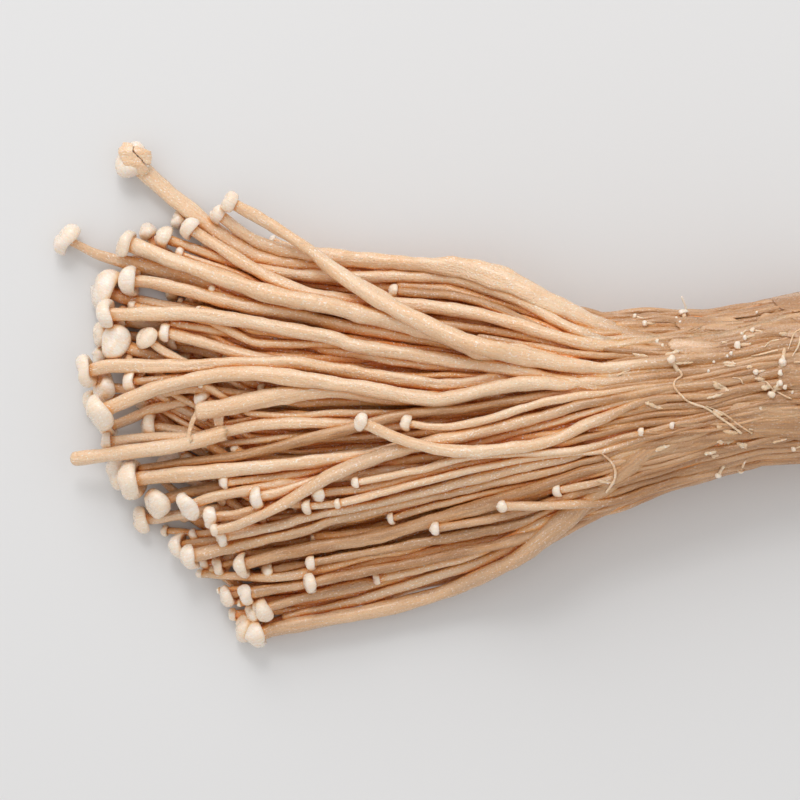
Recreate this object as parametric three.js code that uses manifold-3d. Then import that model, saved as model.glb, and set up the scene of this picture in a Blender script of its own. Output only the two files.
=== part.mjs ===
// Enoki mushroom bunch, lying down: slim capped stems that fan out from a fused root.
// Millimetres. +X runs from the caps to the cut root, +Y across the fan, +Z up.
// The table is z = 0. Plans are drawn with the foremost cap near x = 9 and moved to the
// middle of the bunch at the end.
import * as THREE from 'three';
import Module from 'manifold-3d';

const wasm = await Module();
wasm.setup();

// Driving dimensions.
const ROOT_END = 173;        // cut face of the root
const CORE_START = 66;       // nose of the core, inside the pile
const CORE_REACH = 87;       // where stems that end out of sight go into the core
const NECK = 117;            // where the others go into it
const CORE_SIDES = 40;       // points round the core, every second one a rib
const PLAN_MIDDLE = [91.7, 0.9];
const RIB_DEPTH = 0.075;      // hollows between ribs, over the half width
const STEM_SIDES = 5;
const RING_SPACING = 22;     // along a stem
const LAYER_PITCH = 2.7;     // one stem lying on another
const USUAL_LEVEL = 3.6;     // level of a stem that lies on top of the fan
const FLAT_BELOW = 0.35;     // how far low stems are pressed flat on the table
const CAP_DOME = 0.45;       // height of a cap over its diameter
const LOW_STEMS = 20;        // stems drawn by rule under the fan
const INNER_STEMS = 2;       // and inside it
const SINK = 2;              // levels a stem goes down past its drawn run
const SINK_RUN = 9;          // the last stretch of a stem, inside the root
const SLICE_START = 12;      // first slice across the pile, in which it settles
const SLICE_GAP = 3;         // from one slice to the next
const CAP_REACH = 2;         // how far behind the tip a cap keeps others off
const SETTLE_PASSES = 80;
const SLIVER = 0.05;         // edges shorter than this are dropped from the joined body
const SEED = 20406;

// Edges and crown of the bunch as [x, value], without the caps.
const UPPER_EDGE = [[10, 25], [20, 28], [26, 32], [42, 34.5], [52, 31.4], [68, 29.4], [92, 26.8],
  [104, 24.4], [112, 20.6], [120, 18.4], [140, 18], [152, 20], [160, 21.6], [173, 22.4]];
const LOWER_EDGE = [[10, -4], [20, -10], [26, -20], [36, -33], [50, -47], [60, -46.2], [80, -41.4],
  [92, -37.6], [106, -32], [116, -26], [128, -20.6], [140, -16.6], [152, -13.4], [173, -12]];
const CROWN = [[10, 8], [25, 10.5], [45, 13.5], [70, 15.5], [95, 18], [115, 22], [130, 25],
  [150, 26.5], [173, 27]];

// One stem a row: level in the pile, width behind the cap, width at the foot, cap diameter
// (0 for none), upward tilt of the cap in degrees, then its run in plan from tip to foot.
const UPPER_STEMS = [
  [3.0, 2.4, 2.8, 7.2, 45, [26.2, 48], [37.2, 38.4], [50.4, 29.2], [66, 26.6]],
  [5.6, 2.4, 3.4, 4.2, 15, [46.2, 39.6], [60, 31.4], [70, 23.8], [93, 11.4], [124, 5.2]],
  [3.7, 2.2, 3.2, 4.0, 10, [43.8, 37], [51.6, 31.6], [62.4, 29], [88, 26.6], [98, 24.6],
    [106, 21.6], [112, 18.6], [133, 10.8]],
  [4.0, 2.6, 3.0, 4.8, 0, [38, 34.2], [57, 22.6], [69, 19.8], [92, 17.8], [108, 13.8], [116, 11]],
  [3.2, 2.2, 2.6, 4.8, 0, [33, 32.4], [47.6, 27.2], [60, 25], [86, 24.6], [93, 23.8],
    [105, 19.4], [111, 16], [118, 12.8], [126, 10.4], [134, 9.4]],
  [2.2, 1.8, 1.8, 3.6, 25, [35.4, 36.2], [45, 30.8], [50, 28.8]],
  [2.6, 1.8, 1.8, 4.0, 30, [29.2, 33.8], [31.6, 30.6], [40, 26]],
  [4.1, 3.2, 4.0, 5.8, 5, [25.2, 31.4], [50, 22.4], [64, 19.2], [84, 14.4], [95.6, 10]],
  [3.9, 1.6, 2.0, 2.6, 0, [35.8, 29.2], [46, 25.6], [55, 21.8]],
  [2.8, 1.8, 3.0, 6.6, 5, [13.2, 32.2], [21, 28.6], [36, 25.6], [54, 20]],
  [3.4, 2.6, 2.8, 6.4, 0, [26, 23.8], [32, 23.2], [50, 18.8], [60, 17], [70, 14.6], [88, 11.8],
    [96, 10]],
  [2.0, 2.8, 2.8, 8.6, 0, [21.4, 21.8], [27, 19.8], [41, 17]],
  [3.6, 3.0, 3.0, 6.2, 0, [21.4, 17.2], [35, 17.2], [47, 16], [66, 12.4], [72, 10.6], [96, 7],
    [128, 1.2]],
];
const MIDDLE_STEMS = [
  [2.2, 2.4, 2.4, 7.0, 65, [23, 11.8], [27, 10.2], [38, 6.4]],
  [1.2, 2.0, 2.0, 5.4, 15, [20.2, 13.2], [28, 12.6], [36, 11]],
  [1.0, 2.0, 2.0, 4.0, 20, [19.6, 9], [26, 7.6], [34, 6.4]],
  [2.2, 2.0, 2.0, 5.2, 25, [29.4, 12.2], [32.6, 9.8], [40, 5.8], [46, 4]],
  [3.0, 2.4, 2.8, 3.8, 0, [33.2, 13.6], [52, 8.2], [60, 6.8]],
  [2.6, 2.0, 2.4, 0, 0, [34.4, 15], [61, 11.4], [67, 9.8], [98, 5.2]],
  [3.3, 2.6, 2.6, 6.4, 0, [17.4, 5.8], [23, 6.8], [38, 6.8], [59, 7.2], [88, 3], [100, 4.8],
    [108, 5.2]],
  [2.9, 1.8, 1.8, 4.6, 0, [26.4, 4.2], [32, 4.2], [48, 6]],
  [4.3, 2.8, 3.0, 8.2, 0, [20.6, -2.2], [33, 2.8], [49, 5.2], [67, 3.2], [85, 0.2], [90, 0.4],
    [102, 3], [109, 4]],
  [2.0, 2.0, 2.0, 5.6, 35, [20.8, 2.6], [26, 2], [31, 1.6]],
  [1.4, 2.0, 2.0, 4.8, 0, [18, -0.2], [24, 0.4], [30, 1.2]],
  [1.6, 2.0, 2.0, 6.0, 15, [29.8, -4.2], [40, -7.2], [46, -8]],
  [1.8, 2.4, 2.4, 4.8, 0, [21.4, -5.4], [32, -1.4], [38, 0]],
  [3.8, 2.6, 2.8, 0, 0, [40.2, -2.2], [45, -1.6], [56, 0.8], [67, 1.8], [78, 0.4]],
  [3.1, 2.0, 2.2, 3.8, 0, [21.6, -8.4], [28, -7.6], [40, -7.4], [45, -6.2], [57, -4.6],
    [77, -4.8]],
];
const LOWER_STEMS = [
  [1.6, 2.0, 2.0, 6.0, 30, [23.2, -15], [30, -14]],
  [3.3, 2.4, 2.4, 0, 0, [28.4, -14], [52, -10.2], [82, -2.8], [94, -1.6], [118, 2.4]],
  [3.7, 3.0, 2.8, 8.2, 0, [26.6, -15.8], [68, -11.8], [79, -9.8]],
  [2.6, 2.6, 2.6, 6.6, 25, [31.4, -20.6], [37, -18.6], [47, -16.8]],
  [3.0, 1.8, 1.8, 2.8, 0, [45.2, -16.4], [58, -15], [70, -12.4]],
  [1.7, 2.2, 2.2, 5.2, 0, [28.4, -24], [34, -23.4], [50, -20.6]],
  [3.0, 2.2, 2.4, 6.0, 0, [38, -21], [43, -19.2], [53, -17.6], [64, -15.2]],
  [3.4, 2.2, 2.4, 4.8, 0, [42.4, -23.4], [48, -22.8], [57, -20.4]],
  [4.5, 2.2, 3.2, 2.6, 0, [43.2, -26], [48, -24.8], [57, -20.6], [67, -14.8], [77, -10.8],
    [88, -8], [104, -4.4], [120, 0], [128, 0.8]],
  [4.0, 2.2, 2.4, 4.6, 0, [51.8, -19.4], [57, -18.2], [65, -15.6]],
  [4.2, 1.8, 2.0, 4.0, 0, [64.2, -18.2], [75, -17.2], [92, -12.6]],
  [4.4, 1.6, 1.8, 2.2, 0, [67.8, -20.6], [104, -11.6], [120, -10.4]],
  [5.6, 2.2, 2.6, 3.8, 0, [72.6, -4.4], [81, -8], [92, -10.2], [106, -9], [112, -7.2],
    [124, -1.6], [130, 0], [140, 0.8]],
  [4.7, 1.6, 2.0, 3.0, 0, [81.4, -4.6], [88, -5.4], [97, -4], [112, 0.4], [128, 2.4]],
];
const EDGE_STEMS = [
  [2.0, 2.4, 2.4, 5.6, 0, [36, -29.4], [41, -28.6], [46, -28]],
  [3.2, 3.0, 2.4, 5.2, 0, [38.2, -31.2], [61, -26], [67, -24], [93, -17.6], [120, -12]],
  [3.5, 2.0, 2.2, 4.0, 0, [44.6, -27.4], [56, -25], [62, -23.2], [80, -19.4], [104, -13.2],
    [112, -12]],
  [3.2, 2.6, 2.8, 5.6, 0, [48.6, -33], [60, -30], [72, -28], [84, -24.8], [122, -13]],
  [1.6, 1.6, 1.6, 3.8, 0, [43.8, -33.2], [49, -32]],
  [2.4, 2.0, 2.0, 3.8, 10, [53.8, -34.6], [60, -33.2], [70, -31.6]],
  [2.9, 1.8, 2.0, 3.2, 0, [62.4, -32.6], [102, -25.2], [108, -23.4]],
  [3.1, 2.0, 2.2, 4.4, 0, [62.2, -36.6], [102, -28.2], [115, -23.6]],
  [1.6, 1.8, 2.0, 4.2, 0, [45.4, -38.6], [52.4, -36.6], [57, -36]],
  [2.5, 2.0, 2.2, 3.8, 0, [49.2, -38.8], [60, -36.8], [70, -33.4], [100, -27.6]],
  [2.2, 2.2, 2.4, 5.0, 5, [52.6, -42], [64, -38.8], [84, -34.8], [92, -32.6]],
  [3.3, 3.2, 3.4, 6.0, 5, [51.4, -46.8], [58, -45.2], [83, -40.4], [100, -33.6], [105, -30.6],
    [117, -21.2], [129, -10.6], [142, -7.2], [150, -6.8], [160, -7.6]],
  [4.7, 2.0, 2.2, 2.6, 0, [100.4, -21], [121, -20.2], [131, -16.4], [153, -12]],
  [3.7, 1.6, 1.8, 2.8, 0, [87.2, -25.6], [100, -23.2], [116, -18.4]],
];
const NECK_STEMS = [
  [3.6, 1.6, 1.8, 2.8, 0, [79, 21.8], [95, 19.8], [114, 11.6], [128, 8.8]],
  [2.8, 1.8, 2.0, 0, 0, [86, 15.6], [102, 13.2], [118, 10]],
  [1.4, 2.4, 2.8, 0, 0, [84, -37], [94, -35], [106, -31.2], [126, -21.6], [152, -13.2]],
  [2.6, 2.0, 2.4, 0, 0, [112, 19.6], [120, 17.6], [128, 17.8], [144, 17.6], [160, 20.6]],
];
// The snapped stem has lost its cap and its foot, and lies loose across the others.
const SNAPPED_STEM = { width: 2.8, run: [[14, -12, 6.8], [36, -9, 11.5], [45.2, -6.6, 13.55]] };

const CREAM = 0xe9cda8;

function mulberry(seed) {
  let state = seed;
  return () => {
    state = (state + 0x6d2b79f5) | 0;
    let t = Math.imul(state ^ (state >>> 15), 1 | state);
    t = (t + Math.imul(t ^ (t >>> 7), 61 | t)) ^ t;
    return ((t ^ (t >>> 14)) >>> 0) / 4294967296;
  };
}

const clamp = THREE.MathUtils.clamp;
const smoothstep = THREE.MathUtils.smoothstep;
const lerp = THREE.MathUtils.lerp;

// Value at x of the line drawn through [x, value] rows.
function along(rows, x) {
  if (x <= rows[0][0]) return rows[0][1];
  for (let i = 1; i < rows.length; i++) {
    if (x <= rows[i][0]) {
      const [x0, a] = rows[i - 1];
      const [x1, b] = rows[i];
      return lerp(a, b, (x - x0) / (x1 - x0));
    }
  }
  return rows[rows.length - 1][1];
}

// Place across the bunch: -1 at the lower edge, +1 at the upper edge.
function across(x, y) {
  const top = along(UPPER_EDGE, x);
  const bottom = along(LOWER_EDGE, x);
  return (2 * y - top - bottom) / (top - bottom);
}

function sideways(x, u) {
  const top = along(UPPER_EDGE, x);
  const bottom = along(LOWER_EDGE, x);
  return (top + bottom + u * (top - bottom)) / 2;
}

const inNeck = (x) => smoothstep(x, 92, 126);

// Height of the bunch's upper surface: a low mound in the fan, an oval in the neck.
function surfaceHeight(x, y) {
  const u = Math.min(Math.abs(across(x, y)), 0.985);
  const crown = along(CROWN, x);
  const mound = crown * (1 - 0.72 * Math.pow(u, 2.6));
  const oval = crown * 0.48 + crown * 0.52 * Math.sqrt(1 - u * u);
  return lerp(mound, oval, inNeck(x));
}

// A stem's plan line as a function of x: the drawn run, then on along the bunch to the neck.
function planLine(plan) {
  const curve = new THREE.CatmullRomCurve3(
    plan.map(([x, y]) => new THREE.Vector3(x, y, 0)), false, 'catmullrom', 0.5);
  const points = curve.getPoints(12 * plan.length);
  const last = points[points.length - 1];
  const u = clamp(across(last.x, last.y), -0.92, 0.92);
  return (x) => {
    if (x >= last.x) return sideways(x, u * lerp(1, 0.85, smoothstep(x, last.x, last.x + 40)));
    const i = Math.max(points.findIndex((p) => p.x >= x), 1);
    const t = (x - points[i - 1].x) / (points[i].x - points[i - 1].x);
    return lerp(points[i - 1].y, points[i].y, t);
  };
}

function drawnStem(row) {
  const [level, tipWidth, footWidth, cap, tilt, ...plan] = row;
  const end = plan[plan.length - 1][0];
  return {
    tip: plan[0][0], tipWidth, footWidth, cap, tilt, hold: 0.3,
    line: planLine(plan),
    reach: clamp(end + 14, CORE_REACH, NECK),
    level: (x) => level - SINK * smoothstep(x, end - 6, end + 22) * (level - 1) / level,
  };
}

// Stems by rule fill the underside and the inside, each on its own line from tip to neck.
function ruleStem(u, level, reach, random) {
  const width = 2.2 + random() * 0.8;
  return {
    tip: tipLine(u) + 2 + random() * 18,
    tipWidth: width, footWidth: width, cap: 3.8 + random() * 2.4, tilt: 0, hold: 0.03,
    line: (x) => sideways(x, u * lerp(1, 0.93, smoothstep(x, 60, 140))),
    reach,
    level: () => level,
  };
}

function ruleStems() {
  const random = mulberry(SEED);
  const stems = [];
  for (let i = 0; i < LOW_STEMS; i++) {
    const u = lerp(-0.93, 0.93, (i + 0.5) / LOW_STEMS) + (random() - 0.5) * 0.05;
    stems.push(ruleStem(u, -3, NECK, random));
  }
  for (let i = 0; i < INNER_STEMS; i++) {
    const u = lerp(-0.8, 0.8, (i + 0.5) / INNER_STEMS) + (random() - 0.5) * 0.1;
    stems.push(ruleStem(u, 0.5, CORE_REACH, random));
  }
  return stems;
}

// Front of the fan: where the tips are, by place across it.
function tipLine(u) {
  return 19 + 5 * Math.max(u, 0) + 27 * Math.pow(Math.max(-u, 0), 1.6);
}

// Cuts a stem by the slices across the bunch: in each its place, height and radius.
function sliceStem(stem) {
  const first = Math.ceil((stem.tip - SLICE_START) / SLICE_GAP);
  const cuts = [];
  const end = Math.floor((stem.reach - SLICE_START) / SLICE_GAP);
  for (let s = Math.max(first, 0); s <= end; s++) {
    const x = SLICE_START + s * SLICE_GAP;
    const y = stem.line(x);
    const slope = (stem.line(x + 1) - stem.line(x - 1)) / 2;
    const width = lerp(stem.tipWidth, stem.footWidth, smoothstep(x, stem.tip, stem.tip + 30));
    const nearCap = x - stem.tip < CAP_REACH ? stem.cap / 2 : 0;
    const level = stem.level(x);
    const pitch = lerp(LAYER_PITCH, 1.2, inNeck(x));
    const radius = Math.max(width / 2, nearCap);
    const floor = radius - FLAT_BELOW;
    const z = surfaceHeight(x, y) - width / 2 + (level - USUAL_LEVEL) * pitch;
    cuts.push({ s, x, y, z: Math.max(z, floor), y0: y, z0: Math.max(z, floor), floor, level,
      radius, cos: 1 / Math.hypot(1, slope), pushY: 0, pushZ: 0 });
  }
  return cuts;
}

// Lets the pile settle. In each slice, stems that overlap push each other apart, the one of
// higher level upwards; each stem is then drawn back to its own line and smoothed along it.
function settle(stems) {
  const slices = [];
  for (const stem of stems) {
    stem.cuts = sliceStem(stem);
    for (const cut of stem.cuts) {
      slices[cut.s] = slices[cut.s] || [];
      slices[cut.s].push(cut);
    }
  }
  for (let pass = 0; pass < SETTLE_PASSES; pass++) {
    for (const slice of slices) {
      if (slice) pushApart(slice);
    }
    for (const stem of stems) relaxStem(stem);
  }
}

function pushApart(slice) {
  for (let i = 0; i < slice.length; i++) {
    for (let j = i + 1; j < slice.length; j++) {
      const inOrder = slice[i].level <= slice[j].level;
      const low = inOrder ? slice[i] : slice[j];
      const high = inOrder ? slice[j] : slice[i];
      const reach = low.radius + high.radius;
      const dy = (high.y - low.y) * Math.min(low.cos, high.cos);
      if (Math.abs(dy) >= reach) continue;
      const lack = Math.sqrt(reach * reach - dy * dy) - (high.z - low.z);
      if (lack <= 0) continue;
      const up = Math.min(lack, 1) * 0.25;
      high.pushZ += up;
      low.pushZ -= up;
      const aside = Math.sign(dy || 1) * Math.min(lack, reach - Math.abs(dy)) * 0.15;
      high.pushY += aside;
      low.pushY -= aside;
    }
  }
}

function relaxStem(stem) {
  const cuts = stem.cuts;
  for (const cut of cuts) {
    cut.y += clamp(cut.pushY, -0.5, 0.5) + (cut.y0 - cut.y) * stem.hold;
    cut.z = Math.max(cut.z + clamp(cut.pushZ, -0.8, 0.8) + (cut.z0 - cut.z) * 0.02, cut.floor);
    cut.pushY = 0;
    cut.pushZ = 0;
  }
  const heights = cuts.map((cut) => cut.z);
  const places = cuts.map((cut) => cut.y - cut.y0);
  for (let i = 1; i < cuts.length - 1; i++) {
    const meanZ = (heights[i - 1] + heights[i + 1]) / 2;
    const meanY = (places[i - 1] + places[i + 1]) / 2;
    cuts[i].z = Math.max(lerp(heights[i], meanZ, 0.4), cuts[i].floor);
    cuts[i].y = cuts[i].y0 + lerp(places[i], meanY, 0.4);
  }
}

// The centre line of a settled stem, from its tip into the core.
function centreLine(stem) {
  const cuts = stem.cuts;
  const first = cuts[0];
  const points = [new THREE.Vector3(stem.tip, stem.line(stem.tip) + first.y - first.y0, first.z)];
  const span = cuts.length - 1;
  const steps = Math.max(2, Math.round(span * SLICE_GAP / RING_SPACING));
  for (let k = 1; k <= steps; k++) {
    const cut = cuts[Math.round(span * k / steps)];
    points.push(new THREE.Vector3(cut.x, cut.y, cut.z));
  }
  const last = points[points.length - 1];
  const u = across(last.x, last.y);
  const x = last.x + SINK_RUN;
  const middle = along(CROWN, x) * 0.48;
  points.push(new THREE.Vector3(x, sideways(x, u * 0.72), lerp(middle, last.z, 0.6)));
  return points;
}

// A closed body from rings of points, each of the same count, with a point at either end.
function closedBody(rings, start, end) {
  const sides = rings[0].length;
  const positions = [start.x, start.y, start.z];
  for (const ring of rings) {
    for (const p of ring) positions.push(p.x, p.y, p.z);
  }
  positions.push(end.x, end.y, end.z);
  const endIndex = positions.length / 3 - 1;
  const index = [];
  for (let k = 0; k < sides; k++) {
    const next = (k + 1) % sides;
    index.push(0, 1 + k, 1 + next);
    for (let r = 0; r < rings.length - 1; r++) {
      const a = 1 + r * sides + k;
      const b = 1 + r * sides + next;
      index.push(a, b + sides, b, a, a + sides, b + sides);
    }
    const lastRing = 1 + (rings.length - 1) * sides;
    index.push(endIndex, lastRing + next, lastRing + k);
  }
  return new wasm.Manifold(new wasm.Mesh({
    numProp: 3,
    vertProperties: new Float32Array(positions),
    triVerts: new Uint32Array(index),
  }));
}

function ringAt(centre, axis, radius, roll) {
  const up = new THREE.Vector3(0, 0, 1);
  const side = new THREE.Vector3().crossVectors(axis, up).normalize();
  const over = new THREE.Vector3().crossVectors(side, axis).normalize();
  const ring = [];
  for (let k = 0; k < STEM_SIDES; k++) {
    const angle = roll + 2 * Math.PI * k / STEM_SIDES;
    ring.push(centre.clone()
      .addScaledVector(side, radius * Math.cos(angle))
      .addScaledVector(over, radius * Math.sin(angle)));
  }
  return ring;
}

// One stem with its cap, as a single body that starts at the top of the cap's dome.
function stemBody(points, stem, roll) {
  const { tipWidth, footWidth, cap, tilt } = stem;
  const rings = [];
  const outward = points[0].clone().sub(points[1]).normalize();
  const capAxis = outward.clone();
  capAxis.z += Math.tan(THREE.MathUtils.degToRad(Math.min(tilt, 60)));
  capAxis.normalize();
  const inward = capAxis.clone().negate();
  let start = points[0].clone().addScaledVector(outward, tipWidth * 0.3);
  if (cap > 0) {
    const dome = cap * CAP_DOME;
    start = points[0].clone().addScaledVector(capAxis, dome);
    const shoulder = points[0].clone().addScaledVector(capAxis, dome * 0.72);
    rings.push(ringAt(shoulder, inward, cap * 0.34, roll));
    rings.push(ringAt(points[0], inward, cap * 0.52, roll));
    const under = points[0].clone().addScaledVector(outward, -cap * 0.1);
    rings.push(ringAt(under, inward, tipWidth * 0.56, roll));
  } else {
    rings.push(ringAt(points[0], outward.clone().negate(), tipWidth * 0.54, roll));
  }
  for (let i = 1; i < points.length; i++) {
    const before = points[i - 1];
    const after = points[Math.min(i + 1, points.length - 1)];
    const axis = after.clone().sub(before).normalize();
    const width = lerp(tipWidth, footWidth, clamp(3 * i / points.length, 0, 1));
    rings.push(ringAt(points[i], axis, width * 0.54, roll));
  }
  const last = points[points.length - 1];
  return closedBody(rings, start, last.clone().add(new THREE.Vector3(footWidth * 0.4, 0, 0)));
}

// The fused root: one ribbed body that thins to a blunt nose among the stems.
function coreBody() {
  const stations = [CORE_START, 84, 102, 114, 124, 140, 158, ROOT_END];
  const rings = stations.map((x, i) => {
    const full = lerp(0.45, 1, smoothstep(x, 88, 124));
    const halfWidth = (sideways(x, 1) - sideways(x, -1)) / 2 * full;
    const crown = along(CROWN, x);
    const halfHeight = crown * 0.51 * full;
    const centre = new THREE.Vector3(x, sideways(x, 0), crown * 0.47);
    const ring = [];
    for (let k = 0; k < CORE_SIDES; k++) {
      const angle = 2 * Math.PI * k / CORE_SIDES;
      const ridge = k % 2 ? -RIB_DEPTH : 0;
      const rib = 1 + (ridge + 0.018 * Math.sin(2.6 * k + 0.07 * x)) * inNeck(x);
      ring.push(new THREE.Vector3(x,
        centre.y - halfWidth * rib * Math.cos(angle),
        centre.z + halfHeight * rib * Math.sin(angle)));
    }
    return ring;
  });
  const middle = (x) => new THREE.Vector3(x, sideways(x, 0), along(CROWN, x) * 0.47);
  return closedBody(rings, middle(CORE_START - 3), middle(ROOT_END));
}

// Everything below the table, to cut off.
function tableBody() {
  const corners = [];
  for (const z of [-40, 0]) {
    for (const [x, y] of [[-100, -150], [300, -150], [300, 150], [-100, 150]]) corners.push(x, y, z);
  }
  const faces = [0, 2, 1, 0, 3, 2, 4, 5, 6, 4, 6, 7];
  for (let k = 0; k < 4; k++) {
    const n = (k + 1) % 4;
    faces.push(k, n, n + 4, k, n + 4, k + 4);
  }
  return new wasm.Manifold(new wasm.Mesh({
    numProp: 3,
    vertProperties: new Float32Array(corners),
    triVerts: new Uint32Array(faces),
  }));
}

function toMesh(name, body) {
  const data = body.getMesh();
  const geometry = new THREE.BufferGeometry();
  geometry.setAttribute('position', new THREE.BufferAttribute(data.vertProperties, 3));
  geometry.setIndex(new THREE.BufferAttribute(data.triVerts, 1));
  geometry.translate(-PLAN_MIDDLE[0], -PLAN_MIDDLE[1], 0);
  geometry.computeVertexNormals();
  const material = new THREE.MeshStandardMaterial({ color: CREAM, roughness: 0.5, metalness: 0 });
  const mesh = new THREE.Mesh(geometry, material);
  mesh.name = name;
  return mesh;
}

function bunchBody() {
  const random = mulberry(SEED + 2);
  const rows = [...UPPER_STEMS, ...MIDDLE_STEMS, ...LOWER_STEMS, ...EDGE_STEMS, ...NECK_STEMS];
  const stems = [...rows.map(drawnStem), ...ruleStems()];
  settle(stems);
  const bodies = [coreBody()];
  for (const stem of stems) {
    bodies.push(stemBody(centreLine(stem), stem, random() * 6));
  }
  // The outer skin alone, so that no pocket stays sealed between stems.
  const joined = wasm.Manifold.union(bodies).subtract(tableBody()).simplify(SLIVER);
  return joined.decompose().sort((a, b) => b.volume() - a.volume())[0];
}

function snappedStemBody() {
  const { width, run } = SNAPPED_STEM;
  const points = run.map(([x, y, z]) => new THREE.Vector3(x, y, z));
  return stemBody(points, { tipWidth: width, footWidth: width, cap: 0, tilt: 0 }, 0.3);
}

const bunch = new THREE.Group();
bunch.add(toMesh('enoki_bunch', bunchBody()));
bunch.add(toMesh('snapped_stem', snappedStemBody()));

export default bunch;
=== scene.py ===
"""Enoki mushroom bunch, lying down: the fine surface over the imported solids.

Plans are drawn in millimetres with the foremost cap near x = 9, as in the solids, and moved to
the row frame in metres when a mesh is made. +X runs from the caps to the cut root, +Z is up.
"""

import math

import bpy
import numpy as np
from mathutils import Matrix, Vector
from mathutils.bvhtree import BVHTree


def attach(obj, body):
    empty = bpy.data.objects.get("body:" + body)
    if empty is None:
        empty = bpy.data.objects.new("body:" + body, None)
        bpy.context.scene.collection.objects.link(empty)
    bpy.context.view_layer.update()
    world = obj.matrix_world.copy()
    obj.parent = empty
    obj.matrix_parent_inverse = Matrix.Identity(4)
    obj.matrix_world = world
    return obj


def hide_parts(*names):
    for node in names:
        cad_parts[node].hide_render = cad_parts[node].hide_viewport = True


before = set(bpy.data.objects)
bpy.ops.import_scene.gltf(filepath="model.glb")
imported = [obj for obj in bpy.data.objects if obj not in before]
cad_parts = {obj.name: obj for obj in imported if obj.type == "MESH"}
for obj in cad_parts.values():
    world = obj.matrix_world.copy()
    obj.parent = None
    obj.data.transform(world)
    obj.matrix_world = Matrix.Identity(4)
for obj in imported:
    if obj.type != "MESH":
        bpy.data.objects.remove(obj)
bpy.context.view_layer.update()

# Driving dimensions, in millimetres, as in the solids.
ROOT_END = 173              # cut face of the root
NECK = 117                  # where stems go into the root
PLAN_MIDDLE = np.array([91.7, 0.9, 0.0])
PICTURE_MIDDLE = np.array([80.0, 0.0])
PICTURE_WIDTH = 0.160       # of what it shows, in metres
FLOOR_LEVEL = -0.0001       # just under the bunch, in metres
LAYER_PITCH = 2.7           # one stem lying on another
USUAL_LEVEL = 3.6           # level of a stem that lies on top of the fan
FLAT_BELOW = 0.35           # how far low stems are pressed flat on the table
LOW_STEMS = 20              # stems drawn by rule under the fan
INNER_STEMS = 2             # and inside it
SINK = 2                    # levels a stem goes down past its drawn run
SLICE_START = 12            # first slice across the pile, in which it settles
SLICE_GAP = 3               # from one slice to the next
CAP_REACH = 2               # how far behind the tip a cap keeps others off
SETTLE_PASSES = 80
LIFT_SHARE = 0.25           # of an overlap, cleared by lifting in one pass
ASIDE_SHARE = 0.15          # and by moving aside
MOST_LIFT = 0.8             # in one pass
MOST_ASIDE = 0.5
HOMING = 0.02               # pull to the drawn height in one pass
EVENING = 0.4               # pull to the neighbouring slices
NECK_PITCH = 1.2            # one stem lying on another in the neck
TRACED_HOLD = 0.3           # pull of a traced stem to its line
RULE_HOLD = 0.03            # and of one laid by rule
SEED = 20406                # of the stems laid by rule

# What only the fine surface has.
DRAW_SEED = 7               # of everything drawn at random here
EXTRA_STEMS = 84            # thin stems deep in the gaps
CORNER = 50                 # where the fan's lower edge is widest
SHREDS = 48                 # torn scraps of skin on the neck
CUT_CELLS = 200             # stems that show in the cut across the root
CELL_GAP = 1.25             # the least distance between their middles
WIDEST_GAP = 2.3            # between neighbouring ribs round the neck
RIB_FROM = 107              # a drawn run that reaches this far along stays on the neck's surface
BLEND = (96, 126)           # where the pile turns into the ribbed neck
AGE_AND_SHADE = (104, 136)           # where the flesh grows darker towards the root: partly its own ageing, partly painted shade of the neck, which faces away from the light
INNER_END = 127             # where the stems end that go inside the root
RUN_POINTS = 260            # on a stem's line, before it is cut into even steps
RIB_PASSES = 200            # of spreading the ribs round the root
RIB_PACKING = 0.97          # share of the girth that they fill
NECK_STEP = 3               # between the places where the ribs are spread round the root
STEM_STEP = 0.8             # between rings of a stem
HIDDEN_STEP = 1.1           # and along the hidden ones
STEM_SIDES = 20
CAP_SIDES = 26
FIBRE_SIDES = 8
CORE_SIDES = 160
FACE_SIDES = 200            # points round the cut face
FACE_RINGS = 64             # and rings from its rim to its middle
PRESSED = 0.4               # flesh lower than this is pressed flat by the table
CORE_BOTTOM = 0.9           # the core stays this far above it, among the ribs
ABOVE = 40.0                # small things are dropped on the pile from this high
SIGHT = 7.0                 # how far the rays look for flesh that shades a point, for the painted shade in the gaps
THIN_SHARE = 0.35           # of the painted shade that shows on fibres and scraps, which light goes through
ROOT_TONE_AND_SHADE = 1.8              # of the flesh at the root: its own ageing and painted shade together
RAYS = 12
NECK_SKIN = 0.22            # thickness of the torn skin on the neck
CAP_SKIN = 0.45             # of the crushed cap's
WEB_SKIN = 0.25             # and of the broken stem's

# Edges and crown of the bunch as [x, value], without the caps.
UPPER_EDGE = [[10, 25], [20, 28], [26, 32], [42, 34.5], [52, 31.4], [68, 29.4], [92, 26.8],
  [104, 24.4], [112, 20.6], [120, 18.4], [140, 18], [152, 20], [160, 21.6], [173, 22.4]]
LOWER_EDGE = [[10, -4], [20, -10], [26, -20], [36, -33], [50, -47], [60, -46.2], [80, -41.4],
  [92, -37.6], [106, -32], [116, -26], [128, -20.6], [140, -16.6], [152, -13.4], [173, -12]]
CROWN = [[10, 8], [25, 10.5], [45, 13.5], [70, 15.5], [95, 18], [115, 22], [130, 25],
  [150, 25.9], [173, 26.3]]
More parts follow.
